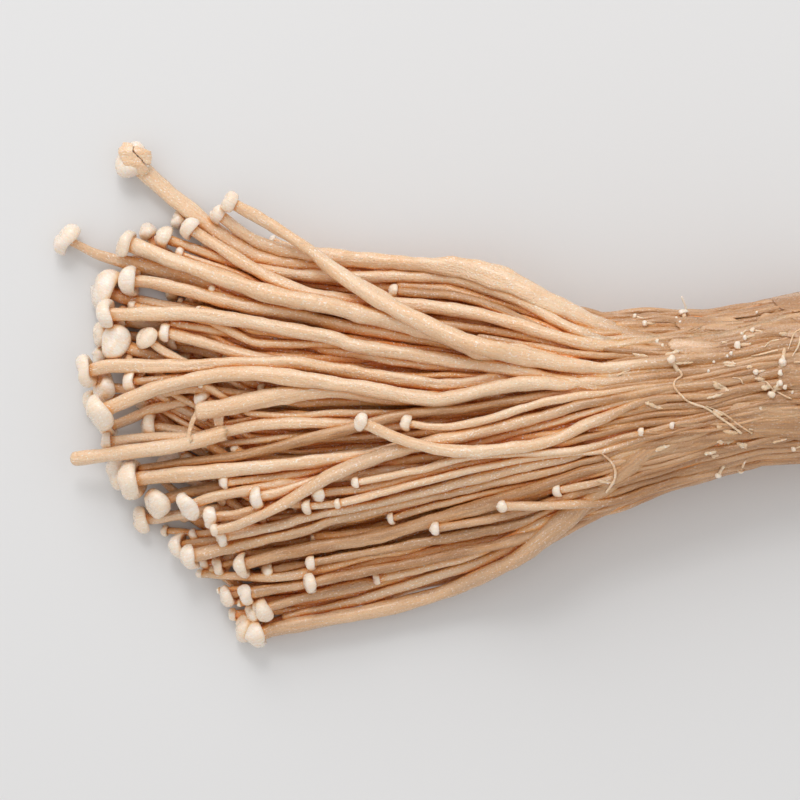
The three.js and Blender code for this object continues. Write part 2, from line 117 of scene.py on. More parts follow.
# One stem a row: level in the pile, width behind the cap, width at the foot, cap diameter
# (0 for none), upward tilt of the cap in degrees, then its run in plan from tip to foot.
UPPER_STEMS = [
    [3.0, 2.4, 2.8, 7.2, 45, [26.2, 48], [37.2, 38.4], [50.4, 29.2], [66, 26.6]],
    [5.6, 2.4, 3.4, 4.2, 15, [46.2, 39.6], [60, 31.4], [70, 23.8], [93, 11.4], [124, 5.2]],
    [3.7, 2.2, 3.2, 4.0, 10, [43.8, 37], [51.6, 31.6], [62.4, 29], [88, 26.6], [98, 24.6],
      [106, 21.6], [112, 18.6], [133, 10.8]],
    [4.0, 2.6, 3.0, 4.8, 0, [38, 34.2], [57, 22.6], [69, 19.8], [92, 17.8], [108, 13.8], [116, 11]],
    [3.2, 2.2, 2.6, 4.8, 0, [33, 32.4], [47.6, 27.2], [60, 25], [86, 24.6], [93, 23.8],
      [105, 19.4], [111, 16], [118, 12.8], [126, 10.4], [134, 9.4]],
    [2.2, 1.8, 1.8, 3.6, 25, [35.4, 36.2], [45, 30.8], [50, 28.8]],
    [2.6, 1.8, 1.8, 4.0, 30, [29.2, 33.8], [31.6, 30.6], [40, 26]],
    [4.1, 3.2, 4.0, 5.8, 5, [25.2, 31.4], [50, 22.4], [64, 19.2], [84, 14.4], [95.6, 10]],
    [3.9, 1.6, 2.0, 2.6, 0, [35.8, 29.2], [46, 25.6], [55, 21.8]],
    [2.8, 1.8, 3.0, 6.6, 5, [13.2, 32.2], [21, 28.6], [36, 25.6], [54, 20]],
    [3.4, 2.6, 2.8, 6.4, 0, [26, 23.8], [32, 23.2], [50, 18.8], [60, 17], [70, 14.6], [88, 11.8],
      [96, 10]],
    [2.0, 2.8, 2.8, 8.6, 0, [21.4, 21.8], [27, 19.8], [41, 17]],
    [3.6, 3.0, 3.0, 6.2, 0, [21.4, 17.2], [35, 17.2], [47, 16], [66, 12.4], [72, 10.6], [96, 7],
      [128, 1.2]],
]
MIDDLE_STEMS = [
    [2.2, 2.4, 2.4, 7.0, 65, [23, 11.8], [27, 10.2], [38, 6.4]],
    [1.2, 2.0, 2.0, 5.4, 15, [20.2, 13.2], [28, 12.6], [36, 11]],
    [1.0, 2.0, 2.0, 4.0, 20, [19.6, 9], [26, 7.6], [34, 6.4]],
    [2.2, 2.0, 2.0, 5.2, 25, [29.4, 12.2], [32.6, 9.8], [40, 5.8], [46, 4]],
    [3.0, 2.4, 2.8, 3.8, 0, [33.2, 13.6], [52, 8.2], [60, 6.8]],
    [2.6, 2.0, 2.4, 0, 0, [34.4, 15], [61, 11.4], [67, 9.8], [98, 5.2]],
    [3.3, 2.6, 2.6, 6.4, 0, [17.4, 5.8], [23, 6.8], [38, 6.8], [59, 7.2], [88, 3], [100, 4.8],
      [108, 5.2]],
    [2.9, 1.8, 1.8, 4.6, 0, [26.4, 4.2], [32, 4.2], [48, 6]],
    [4.3, 2.8, 3.0, 8.2, 0, [20.6, -2.2], [33, 2.8], [49, 5.2], [67, 3.2], [85, 0.2], [90, 0.4],
      [102, 3], [109, 4]],
    [2.0, 2.0, 2.0, 5.6, 35, [20.8, 2.6], [26, 2], [31, 1.6]],
    [1.4, 2.0, 2.0, 4.8, 0, [18, -0.2], [24, 0.4], [30, 1.2]],
    [1.6, 2.0, 2.0, 6.0, 15, [29.8, -4.2], [40, -7.2], [46, -8]],
    [1.8, 2.4, 2.4, 4.8, 0, [21.4, -5.4], [32, -1.4], [38, 0]],
    [3.8, 2.6, 2.8, 0, 0, [40.2, -2.2], [45, -1.6], [56, 0.8], [67, 1.8], [78, 0.4]],
    [3.1, 2.0, 2.2, 3.8, 0, [21.6, -8.4], [28, -7.6], [40, -7.4], [45, -6.2], [57, -4.6],
      [77, -4.8]],
]
LOWER_STEMS = [
    [1.6, 2.0, 2.0, 6.0, 30, [23.2, -15], [30, -14]],
    [3.3, 2.4, 2.4, 0, 0, [28.4, -14], [52, -10.2], [82, -2.8], [94, -1.6], [118, 2.4]],
    [3.7, 3.0, 2.8, 8.2, 0, [26.6, -15.8], [68, -11.8], [79, -9.8]],
    [2.6, 2.6, 2.6, 6.6, 25, [31.4, -20.6], [37, -18.6], [47, -16.8]],
    [3.0, 1.8, 1.8, 2.8, 0, [45.2, -16.4], [58, -15], [70, -12.4]],
    [1.7, 2.2, 2.2, 5.2, 0, [28.4, -24], [34, -23.4], [50, -20.6]],
    [3.0, 2.2, 2.4, 6.0, 0, [38, -21], [43, -19.2], [53, -17.6], [64, -15.2]],
    [3.4, 2.2, 2.4, 4.8, 0, [42.4, -23.4], [48, -22.8], [57, -20.4]],
    [4.5, 2.2, 3.2, 2.6, 0, [43.2, -26], [48, -24.8], [57, -20.6], [67, -14.8], [77, -10.8],
      [88, -8], [104, -4.4], [120, 0], [128, 0.8]],
    [4.0, 2.2, 2.4, 4.6, 0, [51.8, -19.4], [57, -18.2], [65, -15.6]],
    [4.2, 1.8, 2.0, 4.0, 0, [64.2, -18.2], [75, -17.2], [92, -12.6]],
    [4.4, 1.6, 1.8, 2.2, 0, [67.8, -20.6], [104, -11.6], [120, -10.4]],
    [5.6, 2.2, 2.6, 3.8, 0, [72.6, -4.4], [81, -8], [92, -10.2], [106, -9], [112, -7.2],
      [124, -1.6], [130, 0], [140, 0.8]],
    [4.7, 1.6, 2.0, 3.0, 0, [81.4, -4.6], [88, -5.4], [97, -4], [112, 0.4], [128, 2.4]],
]
EDGE_STEMS = [
    [2.0, 2.4, 2.4, 5.6, 0, [36, -29.4], [41, -28.6], [46, -28]],
    [3.2, 3.0, 2.4, 5.2, 0, [38.2, -31.2], [61, -26], [67, -24], [93, -17.6], [120, -12]],
    [3.5, 2.0, 2.2, 4.0, 0, [44.6, -27.4], [56, -25], [62, -23.2], [80, -19.4], [104, -13.2],
      [112, -12]],
    [3.2, 2.6, 2.8, 5.6, 0, [48.6, -33], [60, -30], [72, -28], [84, -24.8], [122, -13]],
    [1.6, 1.6, 1.6, 3.8, 0, [43.8, -33.2], [49, -32]],
    [2.4, 2.0, 2.0, 3.8, 10, [53.8, -34.6], [60, -33.2], [70, -31.6]],
    [2.9, 1.8, 2.0, 3.2, 0, [62.4, -32.6], [102, -25.2], [108, -23.4]],
    [3.1, 2.0, 2.2, 4.4, 0, [62.2, -36.6], [102, -28.2], [115, -23.6]],
    [1.6, 1.8, 2.0, 4.2, 0, [45.4, -38.6], [52.4, -36.6], [57, -36]],
    [2.5, 2.0, 2.2, 3.8, 0, [49.2, -38.8], [60, -36.8], [70, -33.4], [100, -27.6]],
    [2.2, 2.2, 2.4, 5.0, 5, [52.6, -42], [64, -38.8], [84, -34.8], [92, -32.6]],
    [3.3, 3.2, 3.4, 6.0, 5, [51.4, -46.8], [58, -45.2], [83, -40.4], [100, -33.6], [105, -30.6],
      [117, -21.2], [129, -10.6], [142, -7.2], [150, -6.8], [160, -7.6]],
    [4.7, 2.0, 2.2, 2.6, 0, [100.4, -21], [121, -20.2], [131, -16.4], [153, -12]],
    [3.7, 1.6, 1.8, 2.8, 0, [87.2, -25.6], [100, -23.2], [116, -18.4]],
]
NECK_STEMS = [
    [3.6, 1.6, 1.8, 2.8, 0, [79, 21.8], [95, 19.8], [114, 11.6], [128, 8.8]],
    [2.8, 1.8, 2.0, 0, 0, [86, 15.6], [102, 13.2], [118, 10]],
    [1.4, 2.4, 2.8, 0, 0, [84, -37], [100, -33.6], [106, -31.2], [126, -21.6], [152, -13.2]],
    [2.6, 2.0, 2.4, 0, 0, [112, 19.6], [120, 17.6], [128, 17.8], [144, 17.6], [160, 20.6]],
]
# Small stems that the solids leave out.
SMALL_STEMS = [
    [2.0, 1.6, 1.6, 2.0, 0, [54.4, 32.2], [57, 31.2], [66, 28.8]],
    [2.9, 1.2, 1.4, 2.0, 0, [42.4, 22.4], [46, 21], [51, 19.8]],
    [1.6, 1.2, 1.4, 1.8, 0, [36, 19.6], [40, 18.6], [46, 17.2]],
    [2.3, 1.6, 1.8, 0, 0, [40, 12.8], [60, 9.2], [66, 7.8]],
    [0.8, 1.2, 1.2, 2.2, 20, [36.8, 10.6], [41, 9.4], [46, 8]],
    [2.4, 1.8, 2.0, 0, 0, [33, 1.4], [40, 2], [60, -0.4]],
    [1.2, 1.4, 1.6, 0, 0, [29.6, 0.4], [32.6, -2.2], [40, -6.6], [46, -9]],
    [2.7, 1.4, 1.6, 2.0, 0, [44.4, -4.8], [53, -3.2], [59, -2.8], [66, -3.6], [73, -3.8]],
    [2.5, 1.6, 1.8, 0, 0, [41, -9.4], [48, -8.4], [62, -6.8]],
    [3.6, 1.6, 1.6, 3.4, 0, [61.6, -21.2], [67, -20.6], [77, -18.4]],
    [4.7, 1.6, 1.8, 2.2, 0, [71.4, -16.4], [84, -13.8], [96, -11], [120, -9.8]],
    [3.9, 1.6, 1.8, 0, 0, [89, -9.2], [96, -8.2], [120, -1.8], [128, -0.2]],
    [1.2, 1.8, 1.8, 2.8, 0, [38.6, -26.8], [43, -26.6], [48, -26]],
    [1.0, 1.6, 1.6, 2.8, 0, [41, -33], [46, -31.6]],
    [1.2, 1.6, 1.6, 4.0, 10, [50.6, -42.8], [56, -42.4]],
    [2.9, 1.8, 2.2, 0, 0, [57, -43.8], [70, -40.8], [89, -34.6], [96, -32.4], [107, -26.6],
      [126, -11.6], [130, -9.2]],
    [2.7, 1.4, 1.6, 2.4, 0, [78.4, -23.6], [90, -20.2], [120, -13.6]],
    [3.6, 1.6, 1.8, 3.0, 0, [111.4, -17.8], [117, -16.4], [128, -14]],
    [4.8, 1.2, 1.2, 1.8, 0, [127.8, -6.4], [134, -6.2], [149, -4.8]],
    [4.8, 1.0, 1.0, 1.6, 0, [133.8, -5.2], [140, -4.8], [148, -4.2]],
    [2.4, 2.0, 2.4, 0, 0, [80, 23], [96, 21], [120, 13.4]],
    [3.0, 1.6, 1.6, 0, 0, [96, 12.4], [104, 10.8], [120, 8.4]],
    [2.4, 1.8, 2.2, 0, 0, [116, -24], [132, -18], [148, -13.8]],
    [3.2, 1.0, 1.0, 1.6, 0, [71.2, 29], [76, 27.8], [82, 27.2]],
    [2.5, 1.0, 1.0, 1.4, 0, [143.6, -14.6], [147, -13.4], [151, -12.6]],
]
# Stems that flatten out into a broad ribbon: the row's group and place, from x, to x, how much.
RIBBONS = {("edge", 11): (100, 134, 1.65), ("upper", 2): (84, 133, 1.5), ("upper", 1): (60, 110, 1.2),
           ("upper", 4): (104, 134, 1.35), ("upper", 9): (17, 48, 1.5),
           ("upper", 0): (14, 56, 1.4), ("middle", 13): (24, 52, 1.45)}
# Fine fibres lying on the neck.
FIBRES = [
    [[133.8, 7.2], [135, 6], [135.6, 4.8], [134.4, 4], [134, 2.8], [135, 1.4], [136.4, 0],
      [138, -0.8], [140.4, -1.6], [143, -3.4], [145.6, -5.2], [147.4, -6.6]],
    [[140.4, -1.2], [144, -2.8], [147, -5], [149.6, -6.6]],
    [[119.6, -10.4], [121.6, -12], [122.6, -14], [122.4, -16], [120.8, -18.4]],
    [[156.6, 10.1], [157.2, 11.7], [158, 13.3], [159.2, 14]],
    [[157.4, 8.7], [158.6, 10.7], [159.1, 12.5], [159.6, 13.8]],
    [[151.9, 10.5], [153.1, 11.5], [154.9, 11.9]],
    [[149.4, 8.7], [151.5, 9.1], [154.5, 9.9]],
    [[145.6, 4.4], [147, 4.2], [147.6, 3.2]],
    [[150.4, 3.8], [152.1, 3.6], [153.1, 2.5], [155.3, 1.1], [157.2, 0.2]],
]
# Pins: place of the head, its size, and the heading of the stem behind it in degrees.
PINS = [[133.6, 8.0, 1.7, -60], [146.8, 10.8, 1.6, 5], [155.4, 7.5, 1.7, 80], [153.3, 1.2, 1.7, 60],
  [150.2, 5.5, 1.2, 10], [149.8, 13.8, 1.2, -10], [148.2, 12.3, 1.2, 15], [147.6, 13.1, 0.8, 40],
  [128.6, 15.2, 1.2, 0], [126.8, 16.6, 1.1, -15], [158, -9.6, 1.2, 20], [163, -7, 1.4, -20],
  [136.4, 17.3, 1.8, -80], [143.2, -14.9, 1.4, 60], [147.8, -13.9, 1.4, 70]]
# Crumbs of torn flesh: a head of this size with nothing behind it.
CRUMBS = [[155.0, 5.4, 1.3], [155.5, 4.4, 1.0], [155.0, 3.4, 1.2], [155.9, 2.6, 1.1], [157.4, 1.5, 0.8],
  [140.9, 5.7, 0.7], [135.6, 15.2, 1.2], [135.0, 16.2, 0.9], [136.4, 14.4, 0.9], [145.4, 9.2, 0.9],
  [144.6, 8.7, 0.7], [142, 7.6, 0.7], [131, 11.6, 0.9], [132, 10.8, 0.8], [150.8, 17.3, 0.7]]
# Sheets of torn skin on the neck, each drawn clockwise by its outline.
NECK_SHEETS = [
    [[153.6, 20.6], [154, 21.4], [158, 21.9], [164, 22.2], [171, 22.8], [171, 18.6], [164, 17.8],
      [158, 17.4], [155, 18.4]],
    [[154.6, 7.4], [156, 8.6], [160, 9.4], [166, 9.6], [170, 8], [170, 3.6], [166, 2], [160, 1.6],
      [156.4, 2.2], [154.8, 3.6], [154.2, 5.4]],
    [[134.6, 16], [135.8, 16.6], [140, 16.4], [146, 16.6], [149, 15.4], [146, 13.6], [140, 13.8],
      [136, 13.6], [134.8, 14.6]],
    [[132.8, 11.2], [134, 12.2], [140, 11.8], [144.4, 11.2], [146, 10], [142, 9], [136, 9],
      [133.4, 10]],
    [[150.4, 15.6], [152, 17.2], [156, 17], [162, 16.6], [168, 16], [168, 12.6], [160, 12],
      [154, 12.8], [151, 14]],
    [[144, -2.4], [146, -0.6], [152, -0.2], [160, -1], [168, -1.4], [168, -7.4], [160, -7.6],
      [152, -6.8], [146, -5.6], [144.6, -4]],
]
# The crushed skin of the foremost upper cap, in two plates with a slit between them.
CAP_SHEETS = [
    [[23.4, 49.6], [23.3, 50.5], [24.2, 51.0], [24.2, 51.8], [25.1, 51.8], [26.6, 51.3], [26.0, 50.3],
      [28.8, 47.3], [29.8, 45.9], [28.4, 44.9], [26.8, 45.8], [25.0, 46.6], [24.3, 47.6]],
    [[26.8, 51.2], [28.9, 50.3], [30.1, 50.0], [30.2, 48.6], [30.0, 47.2], [29.1, 47.2], [26.3, 50.2]],
]
# A web of skin under the broken stem.
WEB = [[42.5, -3.2], [44.8, -3.0], [44.7, -5.4], [43.9, -5.2], [43.0, -5.4]]
# Openings among the caps, which the hidden stems keep clear of: from x, to x, from y, to y.
OPENINGS = [[28.4, 37.8, 19.2, 24.8], [23.4, 32.6, 13, 16], [40.8, 43.8, 9, 10.4],
            [33.4, 40.6, 8.8, 12], [26.2, 39.4, -6.4, 0.6], [31.2, 41.6, -11.2, -10]]
BROKEN = 13                 # the middle row whose stem is broken off
CRUSHED = 0                 # the upper row whose cap is crushed
BRISTLE = [[137.1, 17.0], [136.8, 18.6], [136.0, 20.4]]
# What each group's tone is shifted by: higher is duller. The lower and edge groups are partly painted
# shade, for the fan's lower slope away from the light.
GROUP_TONE_AND_SHADE = {"under": 0.2, "inner": 0.2, "lower": 0.9, "edge": 1.15, "upper": -0.05, "small": 0.3}
SIDES = {"under": 10, "inner": 10, "small": 16, "neck": 16}    # round the stems of these groups

# Colours of the flesh in the open and of its duller stems (partly painted shade), and of the painted
# shade in its gaps from shallow to darkest; the shallow one also tints the fine streaks.
STEM_FLESH = {"light": (0.885, 0.65, 0.445, 1), "mid": (0.83, 0.54, 0.32, 1),
              "dull_and_shade": (0.40, 0.187, 0.070, 1), "amber_streak_and_shade": (0.84, 0.39, 0.10, 1),
              "deep_shade": (0.80, 0.23, 0.035, 1), "gloss": 0.34, "glitter": 1.0}
CAP_FLESH = {"light": (0.89, 0.785, 0.69, 1), "mid": (0.90, 0.73, 0.565, 1),
             "dull_and_shade": (0.86, 0.69, 0.52, 1), "amber_streak_and_shade": (0.88, 0.56, 0.27, 1),
             "deep_shade": (0.76, 0.31, 0.09, 1), "gloss": 0.34, "glitter": 0.5}
ROOT_GAP_SHADE = (0.57, 0.26, 0.09, 1)          # painted shade in the gaps of the root, where the fan's is orange
# The darkest painted shade in the gaps of the root.
ROOT_DARK_GAP_SHADE = (0.27, 0.085, 0.02, 1)
PAINTED_GLINT = (0.97, 0.90, 0.84, 1)            # painted glints: highlights of water on the skin, painted into its colour


class Stem:
    """One stem: its drawn line, its level in the pile and, once settled, its path."""

    def __init__(self, line, tip, widths, cap, tilt, level, hold):
        self.line = line
        self.tip = tip
        self.tip_width, self.foot_width = widths
        self.cap = cap
        self.tilt = tilt
        self.level = level
        self.hold = hold
        self.lift = 0.0
        self.run_end = tip
        self.ribbon = None
        self.claim = 1.0
        self.ragged = 0.0
        self.ages_and_shades = 1.0
        self.tone = 0.0
        self.wrinkle = 0.015
        self.path = None
        self.radii = None
        self.spread = None
        self.low = None
        self.over = None

    def width(self, x):
        t = smoothstep(x, self.tip, self.tip + 30)
        return lerp(self.tip_width, self.foot_width, t)

    def plain_section(self):
        """As wide as high all along the path, and upright."""
        count = len(self.path)
        self.spread = np.ones(count)
        self.low = np.ones(count)
        self.over = np.tile([0.0, 0.0, 1.0], (count, 1))


def lerp(a, b, t):
    return a + (b - a) * t


def smoothstep(x, low, high):
    t = np.clip((np.asarray(x, float) - low) / (high - low), 0, 1)
    return t * t * (3 - 2 * t)


def mulberry(seed):
    """The same small seeded generator as the solids use, for the stems drawn by rule."""
    state = seed

    def imul(a, b):
        return (a * b) & 0xFFFFFFFF

    def draw():
        nonlocal state
        state = (state + 0x6D2B79F5) & 0xFFFFFFFF
        t = imul(state ^ (state >> 15), 1 | state)
        t = ((t + imul(t ^ (t >> 7), 61 | t)) & 0xFFFFFFFF) ^ t
        return ((t ^ (t >> 14)) & 0xFFFFFFFF) / 4294967296

    return draw


def along(rows, x):
    """The value at x of rows of [x, value]."""
    rows = np.asarray(rows)
    return np.interp(x, rows[:, 0], rows[:, 1])


def sideways(x, u):
    """The y at x of a place across the bunch, from -1 at its lower edge to 1 at its upper."""
    top = along(UPPER_EDGE, x)
    bottom = along(LOWER_EDGE, x)
    return (top + bottom + u * (top - bottom)) / 2


def across(x, y):
    """The place across the bunch of a y at x."""
    top = along(UPPER_EDGE, x)
    bottom = along(LOWER_EDGE, x)
    return (2 * y - top - bottom) / (top - bottom)


def in_neck(x):
    """From 0 in the fan to 1 in the neck."""
    return smoothstep(x, 92, 126)


def surface_height(x, y):
    """Height of the bunch's upper surface: a low mound in the fan, an oval in the neck."""
    u = np.minimum(np.abs(across(x, y)), 0.985)
    crown = along(CROWN, x)
    mound = crown * (1 - 0.72 * u ** 2.6)
    oval = crown * 0.48 + crown * 0.52 * np.sqrt(1 - u * u)
    return lerp(mound, oval, in_neck(x))


def spline(points, count):
    """A smooth curve through points, as count + 1 points."""
    p = np.asarray(points, float)
    p = np.vstack([2 * p[0] - p[1], p, 2 * p[-1] - p[-2]])
    t = np.linspace(0, len(p) - 3, count + 1)
    i = np.minimum(t.astype(int), len(p) - 4)
    f = (t - i)[:, None]
    a, b, c, d = p[i], p[i + 1], p[i + 2], p[i + 3]
    bend = (2 * a - 5 * b + 4 * c - d) * f**2 + (3 * b - 3 * c + d - a) * f**3
    return (2 * b + (c - a) * f + bend) / 2


def plan_line(plan):
    """A drawn run as y of x, carried on along the bunch past its last point."""
    points = spline(plan, 12 * len(plan))
    last = points[-1]
    u = np.clip(across(last[0], last[1]), -0.92, 0.92)

    def line(x):
        x = np.asarray(x, float)
        on = sideways(x, u * lerp(1, 0.85, smoothstep(x, last[0], last[0] + 40)))
        return np.where(x >= last[0], on, np.interp(x, points[:, 0], points[:, 1]))

    return line


def drawn_stem(row):
    """A stem from one traced row, which sinks into the pile past its drawn run."""
    level, tip_width, foot_width, cap, tilt, *plan = row
    end = plan[-1][0]

    def level_at(x):
        return level - SINK * smoothstep(x, end - 6, end + 22) * (level - 1) / level

    widths = (tip_width, foot_width)
    stem = Stem(plan_line(plan), plan[0][0], widths, cap, tilt, level_at, TRACED_HOLD)
    stem.run_end = end
    stem.lift = 0.55 * (level - 3.4)
    return stem


def tip_line(u):
    """Front of the fan: where the tips are, by place across it."""
    return 19 + 5 * max(u, 0) + 27 * max(-u, 0) ** 1.6


def stem_on_line(u, level, tip, width, cap):
    """A stem that keeps its place across the bunch."""
    def line(x):
        return sideways(x, u * lerp(1, 0.93, smoothstep(x, 60, 140)))

    def level_at(x):
        return np.full(np.shape(x), level, float)

    return Stem(line, tip, (width, width), cap, 0, level_at, RULE_HOLD)


def rule_stem(u, level, draw):
    width = 2.2 + draw() * 0.8
    tip = tip_line(u) + 2 + draw() * 18
    cap = 3.8 + draw() * 2.4
    return stem_on_line(u, level, tip, width, cap)


def rule_stems():
    """The same stems as the solids have under the fan and inside it."""
    draw = mulberry(SEED)
    stems = []
    for i in range(LOW_STEMS):
        u = lerp(-0.93, 0.93, (i + 0.5) / LOW_STEMS) + (draw() - 0.5) * 0.05
        stems.append(rule_stem(u, -3, draw))
    for i in range(INNER_STEMS):
        u = lerp(-0.8, 0.8, (i + 0.5) / INNER_STEMS) + (draw() - 0.5) * 0.1
        stems.append(rule_stem(u, 0.5, draw))
    return stems


def clear_of_corner(stem):
    """Runs the stem straight past the fan's lower corner, from a tip behind its edge."""
    on_edges = stem.line
    stem.line = lambda x: on_edges(np.maximum(x, CORNER))
    edge_x, edge_y = np.array([row for row in LOWER_EDGE if row[0] <= CORNER]).T
    behind = np.interp(-float(stem.line(CORNER)), -edge_y, edge_x) + 2
    stem.tip = max(stem.tip, float(behind))


def clear_of_openings(stem):
    """Moves the tip back past any opening that the stem would cross."""
    for start, stop, low, high in OPENINGS:
        y = float(stem.line((start + stop) / 2))
        if low - 1 < y < high + 1:
            stem.tip = max(stem.tip, stop + 2)


def extra_stems(rng):
    """Thin stems that fill the inside of the pile, as seen in its gaps."""
    stems = []
    for i in range(EXTRA_STEMS):
        u = lerp(-0.9, 0.9, (i + rng.random()) / EXTRA_STEMS)
        tip = tip_line(u) + 3 + 34 * rng.random() ** 1.5
        width = rng.uniform(1.3, 2.3)
        cap = width * rng.uniform(1.4, 2.1)
        stem = stem_on_line(u, rng.uniform(-0.6, 3.0), tip, width, cap)
        if u < -0.4:
            clear_of_corner(stem)
        clear_of_openings(stem)
        stems.append(stem)
    return stems


def lessen_caps(stems):
    """Shrinks the caps of hidden stems where they would show: far back, high or in the corner."""
    for stem in stems:
        far_back = stem.tip > 58
        high = stem.level(stem.tip) > 2.4
        in_corner = stem.line(stem.tip) < -33
        if far_back or high or in_corner:
            stem.cap *= 0.6


def drawn_places(stems, xs):
    """Where each stem is drawn in each slice, the least height it may have, and its size."""
    shape = (len(xs), len(stems))
    y0, z0, floor, level, radius, cos = (np.zeros(shape) for _ in range(6))
    for i, stem in enumerate(stems):
        y0[:, i] = stem.line(xs)
        slope = (stem.line(xs + 1) - stem.line(xs - 1)) / 2
        cos[:, i] = 1 / np.hypot(1, slope)
        width = stem.width(xs)
        near_cap = np.where(xs - stem.tip < CAP_REACH, stem.cap / 2, 0)
        radius[:, i] = np.maximum(width / 2, near_cap)
        floor[:, i] = radius[:, i] - FLAT_BELOW
        level[:, i] = stem.level(xs)
        pitch = lerp(LAYER_PITCH, NECK_PITCH, in_neck(xs))
        z0[:, i] = surface_height(xs, y0[:, i]) - width / 2 + (level[:, i] - USUAL_LEVEL) * pitch
    return y0, np.maximum(z0, floor), floor, level, radius, cos


def settle(stems):
    """Lets the pile settle, slice by slice, by the same steps as in the solids."""
    xs = np.arange(SLICE_START, NECK + 0.1, SLICE_GAP)
    y0, z0, floor, level, radius, cos = drawn_places(stems, xs)
    tips = np.array([stem.tip for stem in stems])
    hold = np.array([stem.hold for stem in stems])
    live = xs[:, None] >= tips[None, :]
    y, z = y0.copy(), z0.copy()
    order = np.where(level[:, :, None] <= level[:, None, :], 1.0, -1.0)
    order *= np.triu(np.ones((len(stems), len(stems))), 1)
    both = live[:, :, None] & live[:, None, :] & (order != 0)
    least_cos = np.minimum(cos[:, :, None], cos[:, None, :])
    reach = radius[:, :, None] + radius[:, None, :]
    for _ in range(SETTLE_PASSES):
        dy = (y[:, None, :] - y[:, :, None]) * least_cos * order
        dz = (z[:, None, :] - z[:, :, None]) * order
        need = np.sqrt(np.maximum(reach**2 - dy**2, 0))
        lack = np.where(both & (np.abs(dy) < reach), need - dz, 0)
        lack = np.maximum(lack, 0)
        up = np.minimum(lack, 1) * LIFT_SHARE * order
        side = np.where(dy < 0, -1, 1) * np.minimum(lack, np.maximum(reach - np.abs(dy), 0))
        side = side * ASIDE_SHARE * order
        push_z = up.sum(1) - up.sum(2)
        push_y = side.sum(1) - side.sum(2)
        y += np.clip(push_y, -MOST_ASIDE, MOST_ASIDE) + (y0 - y) * hold
        lift = np.clip(push_z, -MOST_LIFT, MOST_LIFT)
        z = np.maximum(z + lift + (z0 - z) * HOMING, floor)
        aside = y - y0
        inner = live[:-2] & live[1:-1] & live[2:]
        mean_z = (z[:-2] + z[2:]) / 2
        mean_y = (aside[:-2] + aside[2:]) / 2
        even_z = np.maximum(lerp(z[1:-1], mean_z, EVENING), floor[1:-1])
        z[1:-1] = np.where(inner, even_z, z[1:-1])
        aside[1:-1] = np.where(inner, lerp(aside[1:-1], mean_y, EVENING), aside[1:-1])
        y = y0 + aside
    return xs, live, y - y0, z


def oval(x):
    """Half width, half height, and centre of the root's section at x."""
    half_width = (sideways(x, 1) - sideways(x, -1)) / 2
    crown = along(CROWN, x)
    return half_width, crown * 0.51, sideways(x, 0), crown * 0.47


def smooth_noise(rng, length, reach, size=1.0):
    """A gentle random curve along a run, with a given reach between its turns."""
    total = np.zeros(len(length))
    for k in range(4):
        wave = reach * rng.uniform(0.7, 1.9) / (1 + 0.6 * k)
        total += np.sin(length * 2 * math.pi / wave + rng.uniform(0, 6.3)) / (1 + 0.5 * k)
    return total * size * 0.45


def rib_speed(angle, x):
    """Millimetres round the oval for each unit of angle."""
    half_width, half_height, _, _ = oval(x)
    return np.hypot(half_width * np.sin(angle), half_height * np.cos(angle))


def neck_angles(stems, starts):
    """Angles round the root for the ribs, spread by their widths, and the room each one has."""
    xs = np.arange(BLEND[0], ROOT_END + 0.1, NECK_STEP)
    angles = np.tile(np.array(starts), (len(xs), 1))
    drawn = np.zeros(angles.shape)
    half_width, half_height, middle, _ = oval(xs)
    for i, stem in enumerate(stems):
        u = np.clip((stem.line(xs) - middle) / (half_width * 0.95), -0.985, 0.985)
        traced = (xs < stem.run_end) & (stem.run_end > RIB_FROM)
        angles[:, i] = np.where(traced, np.arccos(u), angles[:, i])
        if traced.any():
            angles[~traced, i] = angles[traced, i][-1]
        drawn[:, i] = np.where(traced, 0.25, 0.02)
    home = angles.copy()
    widths = np.array([stem.foot_width * stem.claim for stem in stems])
    girth = math.pi * (half_width + half_height)
    packing = girth / widths.sum() * RIB_PACKING
    apart = packing[:, None, None] * (widths[:, None] + widths[None, :]) / 2
    for _ in range(RIB_PASSES):
        turn = angles[:, None, :] - angles[:, :, None]
        turn = (turn + math.pi) % (2 * math.pi) - math.pi
        speed = rib_speed(angles, xs[:, None])[:, :, None]
        lack = np.maximum(apart / speed - np.abs(turn), 0)
        side = np.sign(turn) * lack * 0.2
        angles = angles + side.sum(1) + (home - angles) * drawn
        angles[1:-1] = lerp(angles[1:-1], (angles[:-2] + angles[2:]) / 2, 0.35)
    order = np.argsort(angles % (2 * math.pi), axis=1)
    room = np.zeros(angles.shape)
    for row, x in enumerate(xs):
        ranked = angles[row, order[row]] % (2 * math.pi)
        after = np.diff(np.append(ranked, ranked[0] + 2 * math.pi))
        before = np.roll(after, 1)
        room[row, order[row]] = (after + before) / 2 * rib_speed(ranked, float(x))
    for _ in range(3):
        room[1:-1] = (room[:-2] + 2 * room[1:-1] + room[2:]) / 4
    return xs, angles, room


def run_length(points):
    """How far along the line each of its points is."""
    gaps = np.linalg.norm(np.diff(points, axis=0), axis=1)
    return np.concatenate([[0], np.cumsum(gaps)])


def arc_steps(points, step):
    """The same line with points a step apart, and how far along it they are."""
    length = run_length(points)
    count = max(int(length[-1] / step), 4)
    at = np.linspace(0, length[-1], count + 1)
    return np.stack([np.interp(at, length, points[:, k]) for k in range(3)], axis=1), at


def smoothed(values, passes=3):
    """Values averaged with those beside them, all but the first and the last."""
    for _ in range(passes):
        middle = (values[:-2] + 2 * values[1:-1] + values[2:]) / 4
        values = np.concatenate([values[:1], middle, values[-1:]])
    return values


